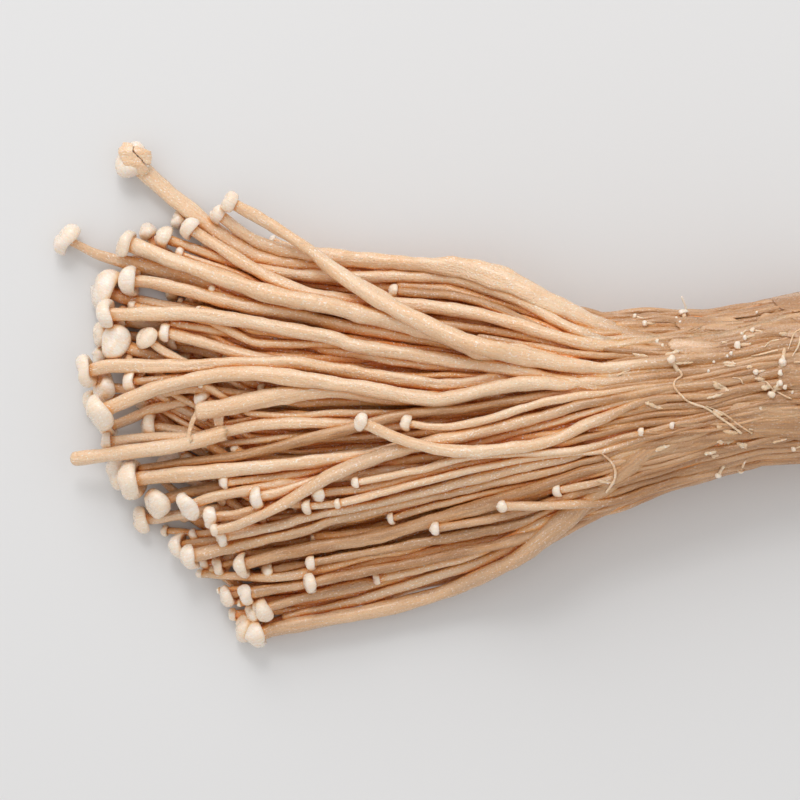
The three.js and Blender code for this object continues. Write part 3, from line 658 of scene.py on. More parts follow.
def sort_ribs(stems, ys, zs, rng):
    """Picks the stems that stay on the neck's surface, and adds strands where too few do."""
    x = float(NECK)
    half_width, half_height, middle_y, middle_z = oval(x)
    ribs, starts, spare = [], [], []
    for stem, y, z in zip(stems, ys, zs):
        dy = (y - middle_y) / half_width
        dz = (z - middle_z) / half_height
        turn = math.atan2(dz, dy)
        if stem.run_end > RIB_FROM or stem.level(x) <= -2.5:
            ribs.append(stem)
            starts.append(turn)
        elif math.hypot(dy, dz) > 0.5:
            spare.append((turn % (2 * math.pi), stem))
    fill = []
    while True:
        ranked = np.sort(np.array(starts) % (2 * math.pi))
        gaps = np.diff(np.append(ranked, ranked[0] + 2 * math.pi))
        room = gaps * rib_speed(ranked + gaps / 2, x)
        widest = int(np.argmax(room))
        if room[widest] < WIDEST_GAP:
            return ribs, starts, fill
        middle = (ranked[widest] + gaps[widest] / 2) % (2 * math.pi)
        near = [pair for pair in spare if abs(pair[0] - middle) < gaps[widest] * 0.3]
        if near:
            turn, stem = min(near, key=lambda pair: abs(pair[0] - middle))
            spare.remove((turn, stem))
            ribs.append(stem)
            starts.append(turn)
            continue
        width = rng.uniform(1.4, 2.8)
        strand = Stem(None, 100 + 10 * rng.random(), (width, width), 0, 0, None, 0)
        strand.line = lambda at, a=middle: sideways(at, 0.6 * math.cos(a))
        strand.lift = rng.uniform(-0.5, 0.1)
        fill.append(strand)
        ribs.append(strand)
        starts.append(middle)


def free_run(stem, x, slices, live, aside, height):
    """Where a stem lies once the pile has settled."""
    if not live.any():
        y = stem.line(x)
        return y, surface_height(x, y)
    z = smoothed(np.interp(x, slices[live], height[live]), 6)
    return stem.line(x) + np.interp(x, slices[live], aside[live]), z


def inner_run(x, y, z):
    """The same run, drawn in towards the middle of the root, where it ends."""
    share = smoothstep(x, 110, INNER_END)
    _, _, c, d = oval(x)
    return lerp(y, lerp(y, c, 0.4), share), lerp(z, lerp(z, d, 0.7), share)


def rib_run(stem, x, y, z, turn, rng):
    """The same run, led onto the root's surface as a rib, some prouder than others."""
    a, b, c, d = oval(x)
    turn = turn + smooth_noise(rng, x, 34, 0.035) * smoothstep(x, 118, 140)
    proud = np.clip(stem.lift, -0.4, 1.3) * lerp(1, 0.45, smoothstep(x, 130, 165))
    proud = np.minimum(proud + smooth_noise(rng, x, 26, 0.5), 0.9)
    out = 1 - (stem.width(x) * 0.36 - proud * 0.6) / b
    share = smoothstep(x, *BLEND)
    y = lerp(y, c + a * out * np.cos(turn), share)
    z = lerp(z, d + b * out * np.sin(turn), share)
    return y, z


def waver(stem, points, rng):
    """A stem's path in even steps, wavering and swelling a little."""
    traced = stem.hold == TRACED_HOLD
    stem.path, length = arc_steps(points, STEM_STEP if traced else HIDDEN_STEP)
    free = 1 - 0.7 * smoothstep(stem.path[:, 0], *BLEND)
    loose = 0.1 if traced else 0.26
    wave = smooth_noise(rng, length, 26, loose) + smooth_noise(rng, length, 7, 0.05)
    stem.path[:, 1] += wave * smoothstep(length, 0, 10) * free
    stem.path[:, 2] += smooth_noise(rng, length, 9, 0.06) * free
    swell = 1 + smooth_noise(rng, length, 30, 0.07) + smooth_noise(rng, length, 8, 0.05)
    swell = swell + smooth_noise(rng, length, 28, 0.2) * (1 - free)
    stem.radii = stem.width(stem.path[:, 0]) * 0.48 * swell
    stem.plain_section()


def lay_paths(stems, rng):
    """Gives every stem its centre line from tip to root and its widths along it."""
    slices, live, aside, height = settle(stems)
    ys = [stem.line(float(NECK)) + aside[-1, i] for i, stem in enumerate(stems)]
    ribs, starts, fill = sort_ribs(stems, ys, height[-1], rng)
    for stem in ribs:
        stem.claim = 0.35 if stem.tip > NECK else 0.55 + 1.9 * rng.random() ** 2
    neck_x, angles, room = neck_angles(ribs, starts)
    place_of = {id(stem): k for k, stem in enumerate(ribs)}
    for i, stem in enumerate(stems + fill):
        place = place_of.get(id(stem))
        end = INNER_END if place is None else ROOT_END
        x = np.linspace(stem.tip, end, RUN_POINTS)
        if i >= len(stems):
            a, b, c, d = oval(x)
            y = c + 0.55 * a * math.cos(angles[0, place])
            z = d + 0.55 * b * math.sin(angles[0, place])
        else:
            y, z = free_run(stem, x, slices, live[:, i], aside[:, i], height[:, i])
        if place is None:
            y, z = inner_run(x, y, z)
        else:
            y, z = rib_run(stem, x, y, z, np.interp(x, neck_x, angles[:, place]), rng)
        waver(stem, np.stack([x, y, z], axis=1), rng)
        if place is not None:
            fit_to_neck(stem, neck_x, angles[:, place], room[:, place])
        if stem.ribbon:
            start, stop, factor = stem.ribbon
            flat = smoothstep(stem.path[:, 0], start, start + 16)
            flat = flat * (1 - smoothstep(stem.path[:, 0], stop, stop + 16))
            stem.spread *= lerp(1, factor, flat)
        stem.path[:, 2] = np.maximum(stem.path[:, 2], stem.radii * 0.93)
    return fill


def fit_to_neck(stem, neck_x, turns, room):
    """Widens a rib to the room it has round the neck, and turns it to face outward."""
    x = stem.path[:, 0]
    share = smoothstep(x, *BLEND)
    turn = np.interp(x, neck_x, turns)
    half_width, half_height, _, _ = oval(x)
    outward = np.stack([np.zeros(len(x)), half_height * np.cos(turn), half_width * np.sin(turn)],
                       axis=1)
    outward /= np.linalg.norm(outward, axis=1)[:, None]
    up = np.where(outward[:, 2] < 0, -1.0, 1.0)
    over = outward * share[:, None]
    over[:, 2] += up * (1 - share)
    stem.over = over / np.linalg.norm(over, axis=1)[:, None]
    fitted = np.clip(np.interp(x, neck_x, room) * 0.62 / stem.radii, 0.75, 2.6)
    stem.spread = lerp(1, fitted, share)
    stem.low = lerp(1, 0.88, share)


class Pile:
    """Gathers rings and caps into one mesh, with what the shaders read at each point."""

    def __init__(self):
        self.points, self.faces, self.grain, self.tone = [], [], [], []
        self.count = 0

    def add(self, points, faces, grain, tone):
        self.points.append(points)
        self.faces.extend([tuple(int(v) + self.count for v in face) for face in faces])
        self.grain.append(grain)
        self.tone.append(np.full(len(points), tone) if np.isscalar(tone) else tone)
        self.count += len(points)


def frames(path, over):
    """Unit vectors along the path, sideways and over, for an over that is nearly right."""
    ahead = np.gradient(path, axis=0)
    ahead /= np.linalg.norm(ahead, axis=1)[:, None]
    side = np.cross(ahead, over)
    side /= np.linalg.norm(side, axis=1)[:, None]
    return side, np.cross(side, ahead)


def skin_noise(rng, rows, sides, along_passes, round_passes):
    """Random relief over a tube, smoothed along it and round it, of unit size."""
    field = rng.normal(size=(rows, sides))
    for _ in range(along_passes):
        padded = np.vstack([field[:1], field, field[-1:]])
        field = (padded[:-2] + 2 * field + padded[2:]) / 4
    for _ in range(round_passes):
        field = (np.roll(field, 1, 1) + 2 * field + np.roll(field, -1, 1)) / 4
    return field / field.std()


def grid_faces(rows, sides):
    """Quads between each ring of a tube and the next."""
    faces = []
    for r in range(rows - 1):
        for k in range(sides):
            n = (k + 1) % sides
            faces.append((r * sides + k, (r + 1) * sides + k, (r + 1) * sides + n, r * sides + n))
    return faces


def close_ends(faces, rows, sides, first, last):
    """Closes both ends of a grid of rings with triangles to one point each."""
    base = (rows - 1) * sides
    for k in range(sides):
        n = (k + 1) % sides
        faces.append((first, k, n))
        faces.append((last, base + n, base + k))


def ring_angles(sides):
    return 2 * math.pi * np.arange(sides) / sides


def round_tip(stem):
    """Puts a few closing rings before the tip of a stem that has no cap."""
    ahead = stem.path[0] - stem.path[1]
    ahead /= np.linalg.norm(ahead)
    back = np.array([0.90, 0.72, 0.42])[:, None] * stem.radii[0]
    stem.path = np.vstack([stem.path[0] + ahead * back, stem.path])
    stem.radii = np.concatenate([stem.radii[0] * np.array([0.40, 0.72, 0.93]), stem.radii])
    stem.spread = np.concatenate([stem.spread[:1].repeat(3), stem.spread])
    stem.low = np.concatenate([stem.low[:1].repeat(3), stem.low])
    stem.over = np.vstack([stem.over[:1].repeat(3, 0), stem.over])


def add_stem(pile, stem, rng, sides=STEM_SIDES):
    """A stem's skin: rings along its path, flattened, grooved along and a little wrinkled."""
    if stem.cap == 0:
        round_tip(stem)
    path, radii = stem.path, stem.radii
    side, over = frames(path, stem.over)
    rows = len(path)
    length = run_length(path)
    angle = ring_angles(sides)
    turn = rng.uniform(0, 6.3) + smooth_noise(rng, length, 60, 0.7)
    theta = angle[None, :] - turn[:, None]
    flat = rng.uniform(0.03, 0.14) + 0.05 * smooth_noise(rng, length, 22)
    shape = 1 + flat[:, None] * np.cos(2 * theta)
    for _ in range(rng.integers(1, 4)):
        place = rng.uniform(0, 6.3) + smooth_noise(rng, length, 50, 0.5)
        depth = np.clip(0.07 + 0.15 * smooth_noise(rng, length, 18), 0, 0.30)
        gap = (angle[None, :] - place[:, None] + math.pi) % (2 * math.pi) - math.pi
        shape -= depth[:, None] * np.exp(-((gap / 0.34) ** 2))
    calm = 1 - 0.65 * smoothstep(path[:, 0], *BLEND)[:, None]
    shape += 0.030 * calm * skin_noise(rng, rows, sides, 36, 1)
    shape += stem.wrinkle * calm * skin_noise(rng, rows, sides, 3, 3)
    ring = radii[:, None] * shape
    wide = ring * stem.spread[:, None]
    high = ring * stem.low[:, None]
    points = (path[:, None, :] + wide[..., None] * np.cos(angle)[None, :, None] * side[:, None, :]
              + high[..., None] * np.sin(angle)[None, :, None] * over[:, None, :])
    points = points.reshape(-1, 3)
    girth = np.repeat(radii * stem.spread, sides)
    grain = np.stack([np.repeat(length, sides), np.tile(angle, rows) * girth,
                      np.full(len(points), rng.uniform(0, 900))], axis=1)
    faces = grid_faces(rows, sides)
    ends = np.array([path[0] + (path[0] - path[1]) * 0.3, path[-1]])
    close_ends(faces, rows, sides, len(points), len(points) + 1)
    points = np.vstack([points, ends])
    grain = np.vstack([grain, grain[:1], grain[-1:]])
    # Darker towards the root: partly ageing of the flesh, partly painted shade.
    aged_and_shaded = stem.ages_and_shades * smoothstep(points[:, 0], *AGE_AND_SHADE)
    pile.add(points, faces, grain, stem.tone * (1 - 0.75 * aged_and_shaded) + ROOT_TONE_AND_SHADE * aged_and_shaded)


# Half sections of a cap, from under its rim to its middle: distance from the axis and distance
# forward, over its radius. The first is a flat button with a thick rolled rim, the second a dome.
BUTTON = [[0.26, -0.16], [0.50, -0.20], [0.70, -0.34], [0.86, -0.36], [0.97, -0.24], [1.02, -0.04],
  [1.02, 0.18], [0.95, 0.38], [0.83, 0.52], [0.65, 0.60], [0.44, 0.64], [0.22, 0.66]]
DOME = [[0.28, -0.16], [0.54, -0.10], [0.78, -0.22], [0.92, -0.22], [1.00, -0.10], [1.03, 0.06],
  [0.99, 0.26], [0.90, 0.44], [0.75, 0.60], [0.54, 0.74], [0.33, 0.82], [0.15, 0.86]]


def add_cap(pile, stem, rng):
    """A cap between a button and a dome, a little out of round and pitted."""
    outward = stem.path[0] - stem.path[3]
    outward /= np.linalg.norm(outward)
    axis = outward + np.array([0, 0, math.tan(math.radians(min(stem.tilt, 62)))])
    axis += rng.normal(0, 0.10, 3)
    axis /= np.linalg.norm(axis)
    side = np.cross(axis, [0, 0, 1.0])
    side /= np.linalg.norm(side)
    over = np.cross(side, axis)
    radius = stem.cap * 0.5
    dome = rng.uniform(0.0, 0.75)
    section = lerp(np.array(BUTTON), np.array(DOME), dome)
    small = smoothstep(6.0 - stem.cap, 0, 4)
    height = rng.uniform(0.82, 1.08) + 0.25 * small
    angle = ring_angles(CAP_SIDES)
    a, b, c = rng.uniform(0, 6.3, 3)
    round_off = 1 + 0.07 * np.cos(2 * angle + a) + 0.03 * np.cos(3 * angle + b)
    bend = 0.10 * np.cos(2 * angle + c) + 0.05 * np.cos(3 * angle + a)
    pits = (0.018 + stem.ragged) * skin_noise(rng, len(section), CAP_SIDES, 1, 1)
    lumps = 0.03 * skin_noise(rng, len(section), CAP_SIDES, 4, 5)
    shape = (round_off[None, :] + pits + lumps) * radius
    ring = section[:, :1] * shape
    level = section[:, 1:] * height * shape
    level = level + radius * bend[None, :] * section[:, :1] ** 2
    points = (stem.path[0] + level[..., None] * axis
              + (ring * np.cos(angle))[..., None] * side
              + (ring * np.sin(angle))[..., None] * over).reshape(-1, 3)
    middle = stem.path[0] + axis * radius * section[-1, 1] * height
    points = np.vstack([points, [middle], [stem.path[0] - axis * radius * 0.12]])
    faces = grid_faces(len(section), CAP_SIDES)
    close_ends(faces, len(section), CAP_SIDES, len(points) - 1, len(points) - 2)
    local = (points - stem.path[0]) @ np.stack([axis, side, over], axis=1)
    grain = local + [0, 0, rng.uniform(0, 900)]
    pile.add(points, faces, grain, rng.uniform(-1, 1))


def on_table(z):
    """Heights near or below the table, pressed together just above it."""
    return np.where(z < PRESSED, PRESSED * np.exp((np.minimum(z, PRESSED) - PRESSED) / PRESSED), z)


def store_numbers(mesh, name, values):
    """Keeps one number at each point for the shaders."""
    attribute = mesh.attributes.new(name, "FLOAT", "POINT")
    attribute.data.foreach_set("value", values.astype(np.float32))


def new_object(name, data):
    made = bpy.data.objects.new(name, data)
    bpy.context.scene.collection.objects.link(made)
    return made


def make_piece(name, pile, material, node="enoki_bunch"):
    """One named mesh from a pile, in place of the solids' node."""
    points = np.vstack(pile.points)
    points[:, 2] = on_table(points[:, 2])
    mesh = bpy.data.meshes.new(name)
    mesh.from_pydata(((points - PLAN_MIDDLE) / 1000).tolist(), [], pile.faces)
    mesh.update()
    mesh.shade_smooth()
    store_numbers(mesh, "tone", np.concatenate(pile.tone))
    grain = mesh.attributes.new("grain", "FLOAT_VECTOR", "POINT")
    grain.data.foreach_set("vector", np.vstack(pile.grain).astype(np.float32).ravel())
    mesh.materials.append(material)
    piece = new_object(name, mesh)
    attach(piece, "root")
    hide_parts(node)
    return piece


def pile_tree(piles):
    """Everything laid so far, to drop small things on and to measure the painted shade in the gaps by.
    """
    points, faces = [], []
    count = 0
    for pile in piles:
        own = np.vstack(pile.points)
        own[:, 2] = on_table(own[:, 2])
        points.append(own)
        faces.extend([[v + count for v in face] for face in pile.faces])
        count += len(own)
    return BVHTree.FromPolygons(np.vstack(points).tolist(), faces)


def vectors(items, name):
    """One vector of each point of a mesh, as rows."""
    values = np.empty(len(items) * 3, np.float32)
    items.foreach_get(name, values)
    return values.reshape(-1, 3)


def closeness(points, normals, tree, rng):
    """How near the flesh is that each point faces, by rays spread round its normal."""
    origins = (points + normals * 0.1).tolist()
    value = np.zeros(len(points))
    for _ in range(RAYS):
        spread = rng.normal(size=(len(points), 3))
        spread /= np.linalg.norm(spread, axis=1)[:, None]
        rays = (normals * 1.02 + spread).tolist()
        reach = [tree.ray_cast(origin, ray, SIGHT)[3] for origin, ray in zip(origins, rays)]
        reach = np.array([SIGHT if far is None else far for far in reach])
        value += (1 - reach / SIGHT) / RAYS
    return value


def evened(mesh, value):
    """The value at each point, averaged twice with those of its neighbours."""
    ends = np.empty(len(mesh.edges) * 2, np.int32)
    mesh.edges.foreach_get("vertices", ends)
    ends = ends.reshape(-1, 2)
    near = np.bincount(ends.ravel(), minlength=len(value))
    for _ in range(2):
        total = np.bincount(ends[:, 0], value[ends[:, 1]], len(value))
        total += np.bincount(ends[:, 1], value[ends[:, 0]], len(value))
        value = (value + total) / (1 + near)
    return value


def measure_crevice_shade(pieces, tree, rng):
    """Stores at every point how closed in it is, from 0 in the open to 1 far inside the pile: the mask
    of the painted shade in the gaps.
    """
    for piece in pieces:
        mesh = piece.data
        share = THIN_SHARE if piece.name == "fibres_and_shreds" else 1.0
        points = vectors(mesh.vertices, "co") * 1000 + PLAN_MIDDLE
        value = closeness(points, vectors(mesh.vertex_normals, "vector"), tree, rng)
        value *= share * (1 - 0.15 * smoothstep(points[:, 0], 108, 132))
        store_numbers(mesh, "crevice_shade", evened(mesh, value))


class Nodes:
    """Short hand for building a node material."""

    def __init__(self, name):
        self.material = bpy.data.materials.new(name)
        self.material.use_nodes = True
        self.tree = self.material.node_tree
        self.tree.nodes.clear()

    def add(self, kind, inputs=None, **settings):
        node = self.tree.nodes.new(kind)
        for key, value in settings.items():
            setattr(node, key, value)
        for key, value in (inputs or {}).items():
            if isinstance(value, bpy.types.NodeSocket):
                self.tree.links.new(value, node.inputs[key])
            else:
                node.inputs[key].default_value = value
        return node

    def attribute(self, name, output):
        return self.add("ShaderNodeAttribute", attribute_name=name).outputs[output]

    def scaled(self, vector, scale):
        node = self.add("ShaderNodeVectorMath", {0: vector, 1: scale}, operation="MULTIPLY")
        return node.outputs[0]

    def noise(self, vector, scale, detail=3.0, rough=0.5):
        sockets = {"Vector": vector, "Scale": scale, "Detail": detail, "Roughness": rough}
        return self.add("ShaderNodeTexNoise", sockets).outputs["Fac"]

    def ramp(self, value, low, high, out_low=0.0, out_high=1.0):
        sockets = {"Value": value, "From Min": low, "From Max": high, "To Min": out_low,
                   "To Max": out_high}
        node = self.add("ShaderNodeMapRange", sockets, interpolation_type="SMOOTHSTEP")
        return node.outputs["Result"]

    def mix(self, share, a, b):
        node = self.add("ShaderNodeMix", {0: share, 6: a, 7: b}, data_type="RGBA")
        return node.outputs[2]

    def bump(self, height, distance, strength, under=None):
        sockets = {"Height": height, "Distance": distance, "Strength": strength}
        if under is not None:
            sockets["Normal"] = under
        return self.add("ShaderNodeBump", sockets).outputs["Normal"]

    def end_with(self, shader):
        output = self.add("ShaderNodeOutputMaterial")
        self.tree.links.new(shader.outputs["BSDF"], output.inputs["Surface"])
        return self.material


def flesh(name, light, mid, dull_and_shade, amber_streak_and_shade, deep_shade, gloss, glitter):
    """Moist flesh: light where it shows and streaked along the stem, with painted shade from orange to
    brown in its gaps and painted glints of water.
    """
    n = Nodes(name)
    grain = n.attribute("grain", "Vector")
    tone = n.attribute("tone", "Fac")
    crevice_shade = n.attribute("crevice_shade", "Fac")
    streaks = n.noise(n.scaled(grain, (0.05, 0.7, 1.0)), 1.0, 3, 0.55)
    fine = n.noise(n.scaled(grain, (0.12, 2.6, 1.0)), 1.0, 3, 0.6)
    patches = n.noise(n.scaled(grain, (0.06, 0.25, 1.0)), 1.0, 2, 0.5)
    # Towards the duller colour by tone, which is partly random and partly painted shade.
    colour = n.mix(n.ramp(tone, -0.2, 1.5, 0.0, 0.95), light, dull_and_shade)
    colour = n.mix(n.ramp(patches, 0.44, 0.66, 0.0, n.ramp(tone, 0.5, 2.1, 0.75, 0.42)), colour, mid)
    colour = n.mix(n.ramp(streaks, 0.46, 0.70, 0.0, n.ramp(tone, 0.5, 2.1, 0.5, 0.3)), colour, mid)
    colour = n.mix(n.ramp(fine, 0.36, 0.56, 0.26, 0.0), colour, amber_streak_and_shade)
    # Painted shade: orange where the rays found the flesh closed in, then dark; browner at the root,
    # where the tone is high.
    root_shade_share = n.ramp(tone, 0.7, 1.9, 0.0, 0.85)
    colour = n.mix(n.ramp(crevice_shade, 0.20, 0.56, 0.0, 0.84), colour, n.mix(root_shade_share, amber_streak_and_shade, ROOT_GAP_SHADE))
    colour = n.mix(n.ramp(crevice_shade, 0.44, 0.78, 0.0, 0.90), colour, n.mix(root_shade_share, deep_shade, ROOT_DARK_GAP_SHADE))
    pores = n.noise(n.scaled(grain, (1.6, 2.2, 1.0)), 1.2, 2, 0.6)
    # Painted glints: sparse pale dots mixed into the colour as highlights of water.
    glint_specks = n.noise(n.scaled(grain, (1.5, 2.6, 1.0)), 1.3, 1, 0.5)
    glint_share = n.ramp(glint_specks, 0.61, 0.70, 0.0, n.ramp(tone, 0.3, 1.6, 0.7, 0.18))
    colour = n.mix(glint_share, colour, PAINTED_GLINT)
    normal = n.bump(streaks, 0.00030, 0.5)
    normal = n.bump(fine, 0.00016, 0.5, normal)
    normal = n.bump(pores, 0.00034, glitter, normal)
    rough = n.ramp(pores, 0.3, 0.7, gloss - 0.12, gloss + 0.14)
    shader = n.add("ShaderNodeBsdfPrincipled",
                   {"Base Color": colour, "Roughness": rough, "Normal": normal})
    shader.inputs["Subsurface Weight"].default_value = 0.25
    shader.inputs["Subsurface Radius"].default_value = (1.0, 0.6, 0.38)
    shader.inputs["Subsurface Scale"].default_value = 0.0005
    shader.inputs["Specular IOR Level"].default_value = 0.5
    shader.inputs["Coat Weight"].default_value = 0.55
    shader.inputs["Coat Roughness"].default_value = 0.16
    return n.end_with(shader)


def core_pile(rng):
    """What fills the root between its ribs, finely ribbed itself."""
    pile = Pile()
    xs = np.concatenate([np.linspace(96, 124, 24), np.linspace(125, ROOT_END - 1.2, 46)])
    sides = CORE_SIDES
    angle = ring_angles(sides)
    strands = 0.016 * skin_noise(rng, len(xs), sides, 20, 4)
    points = []
    for x, rib in zip(xs, strands):
        a, b, c, d = oval(x)
        full = lerp(0.42, 0.935, smoothstep(x, 96, 124)) + rib
        points.append(np.stack([np.full(sides, x), c + a * full * np.cos(angle),
                                d + b * full * np.sin(angle)], axis=1))
    points = np.vstack(points)
    points[:, 2] = np.maximum(points[:, 2], CORE_BOTTOM)
    faces = grid_faces(len(xs), sides)
    close_ends(faces, len(xs), sides, len(points), len(points) + 1)
    faces = [face[::-1] for face in faces]
    ends = []
    for x in (xs[0] - 4, xs[-1]):
        _, _, c, d = oval(x)
        ends.append([x, c, d])
    grain = np.stack([np.repeat(xs, sides), np.tile(angle, len(xs)) * 14, np.zeros(len(points))],
                     axis=1)
    pile.add(np.vstack([points, ends]), faces, np.vstack([grain, grain[:1], grain[-1:]]), 0.7)
    return pile


def cut_face_pile(rng):
    """The plain cut across the root, where each packed stem shows as a low rounded cell."""
    pile = Pile()
    sides, rings = FACE_SIDES, FACE_RINGS
    a, b, c, d = oval(float(ROOT_END))
    seeds = []
    while len(seeds) < CUT_CELLS:
        spot = np.array([rng.uniform(-a, a), rng.uniform(-b, b)])
        inside = math.hypot(spot[0] / a, spot[1] / b) < 0.97
        if inside and all(np.linalg.norm(spot - other) > CELL_GAP for other in seeds):
            seeds.append(spot)
    seeds = np.array(seeds)
    angle = ring_angles(sides)
    share = np.linspace(0.95, 0.0, rings + 1)[:-1]
    y = (a * share[:, None] * np.cos(angle)).ravel()
    z = (b * share[:, None] * np.sin(angle)).ravel()
    gaps = np.sqrt((y[:, None] - seeds[:, 0]) ** 2 + (z[:, None] - seeds[:, 1]) ** 2)
    gaps.partition(1, axis=1)
    border = gaps[:, 1] - gaps[:, 0]
    proud = 0.34 * smoothstep(border, -0.2, 1.0) + 0.12 * np.sin(1.3 * y) * np.sin(0.9 * z + 1)
    x = ROOT_END - 0.5 + proud
    x[:sides] = ROOT_END - 2.0
    points = np.stack([x, c + y, d + z], axis=1)
    faces = [face[::-1] for face in grid_faces(rings, sides)]
    middle = len(points)
    base = (rings - 1) * sides
    for k in range(sides):
        faces.append((middle, base + k, base + (k + 1) % sides))
    points = np.vstack([points, [ROOT_END - 0.3, c, d]])
    grain = np.stack([points[:, 1] * 3, points[:, 2], points[:, 0] * 0], axis=1)
    tone = np.append(0.7 - 1.0 * smoothstep(border, 0.0, 0.8), 0)
    pile.add(points, faces, grain, tone)
    return pile


def on_surface(tree, points, lift):
    """The plan points dropped from above on what is already laid."""
    out = []
    for x, y in points:
        hit = tree.ray_cast((x, y, ABOVE), (0, 0, -1.0))[0]
        out.append([x, y, (hit.z if hit else 1.0) + lift])
    return np.array(out)


def thin_stem(path, width, cap, rng):
    """A fibre or pin along a ready path."""
    stem = Stem(None, path[0][0], (width, width), cap, 10, None, 0)
    stem.path, length = arc_steps(path, 0.4)
    stem.radii = width / 2 * (1 + smooth_noise(rng, length, 3, 0.16))
    stem.plain_section()
    stem.wrinkle = 0.05
    stem.tone = rng.uniform(-1, 0)
    stem.ages_and_shades = 0.0
    return stem


def add_small_things(pile, caps, tree, rng):
    """Fibres, pins, crumbs and the bristle that lie on the neck."""
    for plan in FIBRES:
        line = spline(plan, 12 * len(plan))
        path = smoothed(on_surface(tree, line, 0.22))
        fibre = thin_stem(path, rng.uniform(0.36, 0.6), 0, rng)
        fibre.radii = fibre.radii * lerp(0.5, 1, smoothstep(np.arange(len(fibre.radii)), 0, 8))
        add_stem(pile, fibre, rng, FIBRE_SIDES)
    for x, y, size, heading in PINS:
        turn = math.radians(heading)
        length = size * 1.6
        plan = [[x + length * t * math.cos(turn), y + length * t * math.sin(turn)]
                for t in np.linspace(0, 1, 6)]
        path = on_surface(tree, plan, 0.05)
        path[:, 2] += np.linspace(size * 0.15, -0.3, 6)
        pin = thin_stem(smoothed(path), size * 0.5, size, rng)
        add_stem(pile, pin, rng, FIBRE_SIDES)
        add_cap(caps, pin, rng)
    for x, y, size in CRUMBS:
        path = on_surface(tree, [[x + step, y] for step in (0, 0.4, 0.8, 1.2)], -0.1)
        add_cap(caps, thin_stem(path, size * 0.5, size, rng), rng)
    path = np.array([[x, y, z] for (x, y), z in zip(spline(BRISTLE, 9), np.linspace(15.0, 17, 10))])
    bristle = thin_stem(path[::-1], 0.5, 0, rng)
    add_stem(caps, bristle, rng, FIBRE_SIDES)


# The section of a strip of skin: how far across, how far up, and on which of its two edges.
SHRED_SECTION = [[-1, 0, 0], [-0.5, 0.13, 0], [0.5, 0.13, 1], [1, 0, 1], [0.5, -0.08, 1],
  [-0.5, -0.08, 0]]


def add_shreds(pile, tree, rng):
    """Scraps of torn skin on the neck: thin ragged strips with one end curling up."""
    sides = len(SHRED_SECTION)
    for _ in range(SHREDS):
        x = 168 - 50 * rng.random() ** 1.6
        y = float(sideways(x, rng.uniform(-0.72, 0.72)))
        heading = rng.normal(0, 0.18)
        length = rng.uniform(1.0, 4.5)
        width = rng.uniform(0.35, 1.1)
        rows = int(length / 0.4) + 3
        t = np.linspace(0, 1, rows)
        plan = [[x + length * k * math.cos(heading), y + length * k * math.sin(heading)] for k in t]
        path = smoothed(on_surface(tree, plan, 0.02), 2)
        path[:, 2] += rng.uniform(0.1, 0.5) * (1 - t) ** 3
        ragged = 1 + 0.25 * rng.normal(size=(rows, 2))
        half = width / 2 * np.sqrt(np.clip(np.minimum(t * 5, (1 - t) * 3) + 0.1, 0, 1))
        side = np.array([-math.sin(heading), math.cos(heading), 0])
        rings = []
        for across_it, up, edge in SHRED_SECTION:
            rings.append(path + (across_it * half * ragged[:, edge])[:, None] * side
                         + np.array([0, 0, up]))
        points = np.stack(rings, axis=1).reshape(-1, 3)
        faces = grid_faces(rows, sides)
        faces.append(tuple(reversed(range(sides))))
        last = (rows - 1) * sides
        faces.append(tuple(last + k for k in range(sides)))
        along_it = np.repeat(t * length, sides)
        grain = np.stack([along_it, points[:, 1], np.full(len(points), x)], axis=1)
        pile.add(points, faces, grain, rng.uniform(-1, 0.2))


def add_sheet(pile, outline, place, thick, rng, tone, sink=0.0):
    """A scrap of skin: a closed sheet with a ragged rim, which `place` bends onto its ground.

    It sinks by `sink` towards the root.
    """
    closed = np.array(outline + outline[:1], float)
    length = run_length(closed)
    at = np.arange(0, length[-1] - 0.1, 0.3)
    rim = np.stack([np.interp(at, length, closed[:, 0]), np.interp(at, length, closed[:, 1])], axis=1)
    for _ in range(2):
        rim = (np.roll(rim, 1, 0) + 2 * rim + np.roll(rim, -1, 0)) / 4
    rim = rim + rng.normal(0, 0.05, rim.shape)
    middle = rim.mean(0)
    shares = np.array([0.4, 0.9, 0.99, 1.0, 0.97, 0.92, 0.84, 0.74, 0.62, 0.48, 0.32, 0.15])
    rise = np.array([-0.9, -0.9, -0.6, -0.1, 0.4, 0.65, 0.8, 0.9, 0.95, 1.0, 1.0, 1.0])
    plan = (middle + shares[:, None, None] * (rim - middle)).reshape(-1, 2)
    plan = np.vstack([plan, middle, middle])
    height = np.concatenate([np.repeat(rise, len(rim)), [1.0, -0.9]]) * thick
    height += 0.1 * np.sin(2.3 * plan[:, 1] + 0.5 * np.sin(0.5 * plan[:, 0]))
    height -= sink * smoothstep(plan[:, 0], middle[0], rim[:, 0].max())
    faces = grid_faces(len(shares), len(rim))
    close_ends(faces, len(shares), len(rim), len(plan) - 1, len(plan) - 2)
    grain = np.column_stack([plan, np.full(len(plan), rng.uniform(0, 900))])
    pile.add(place(plan, height), faces, grain, tone)


def on_neck(plan, height):
    """Points at these heights over the neck's oval."""
    points = []
    for (x, y), h in zip(plan, height):
        a, b, c, d = oval(float(x))
        turn = math.acos(float(np.clip((y - c) / a, -0.998, 0.998)))
        points.append([x, c + (a + h) * math.cos(turn), d + (b + h) * math.sin(turn)])
    return np.array(points)


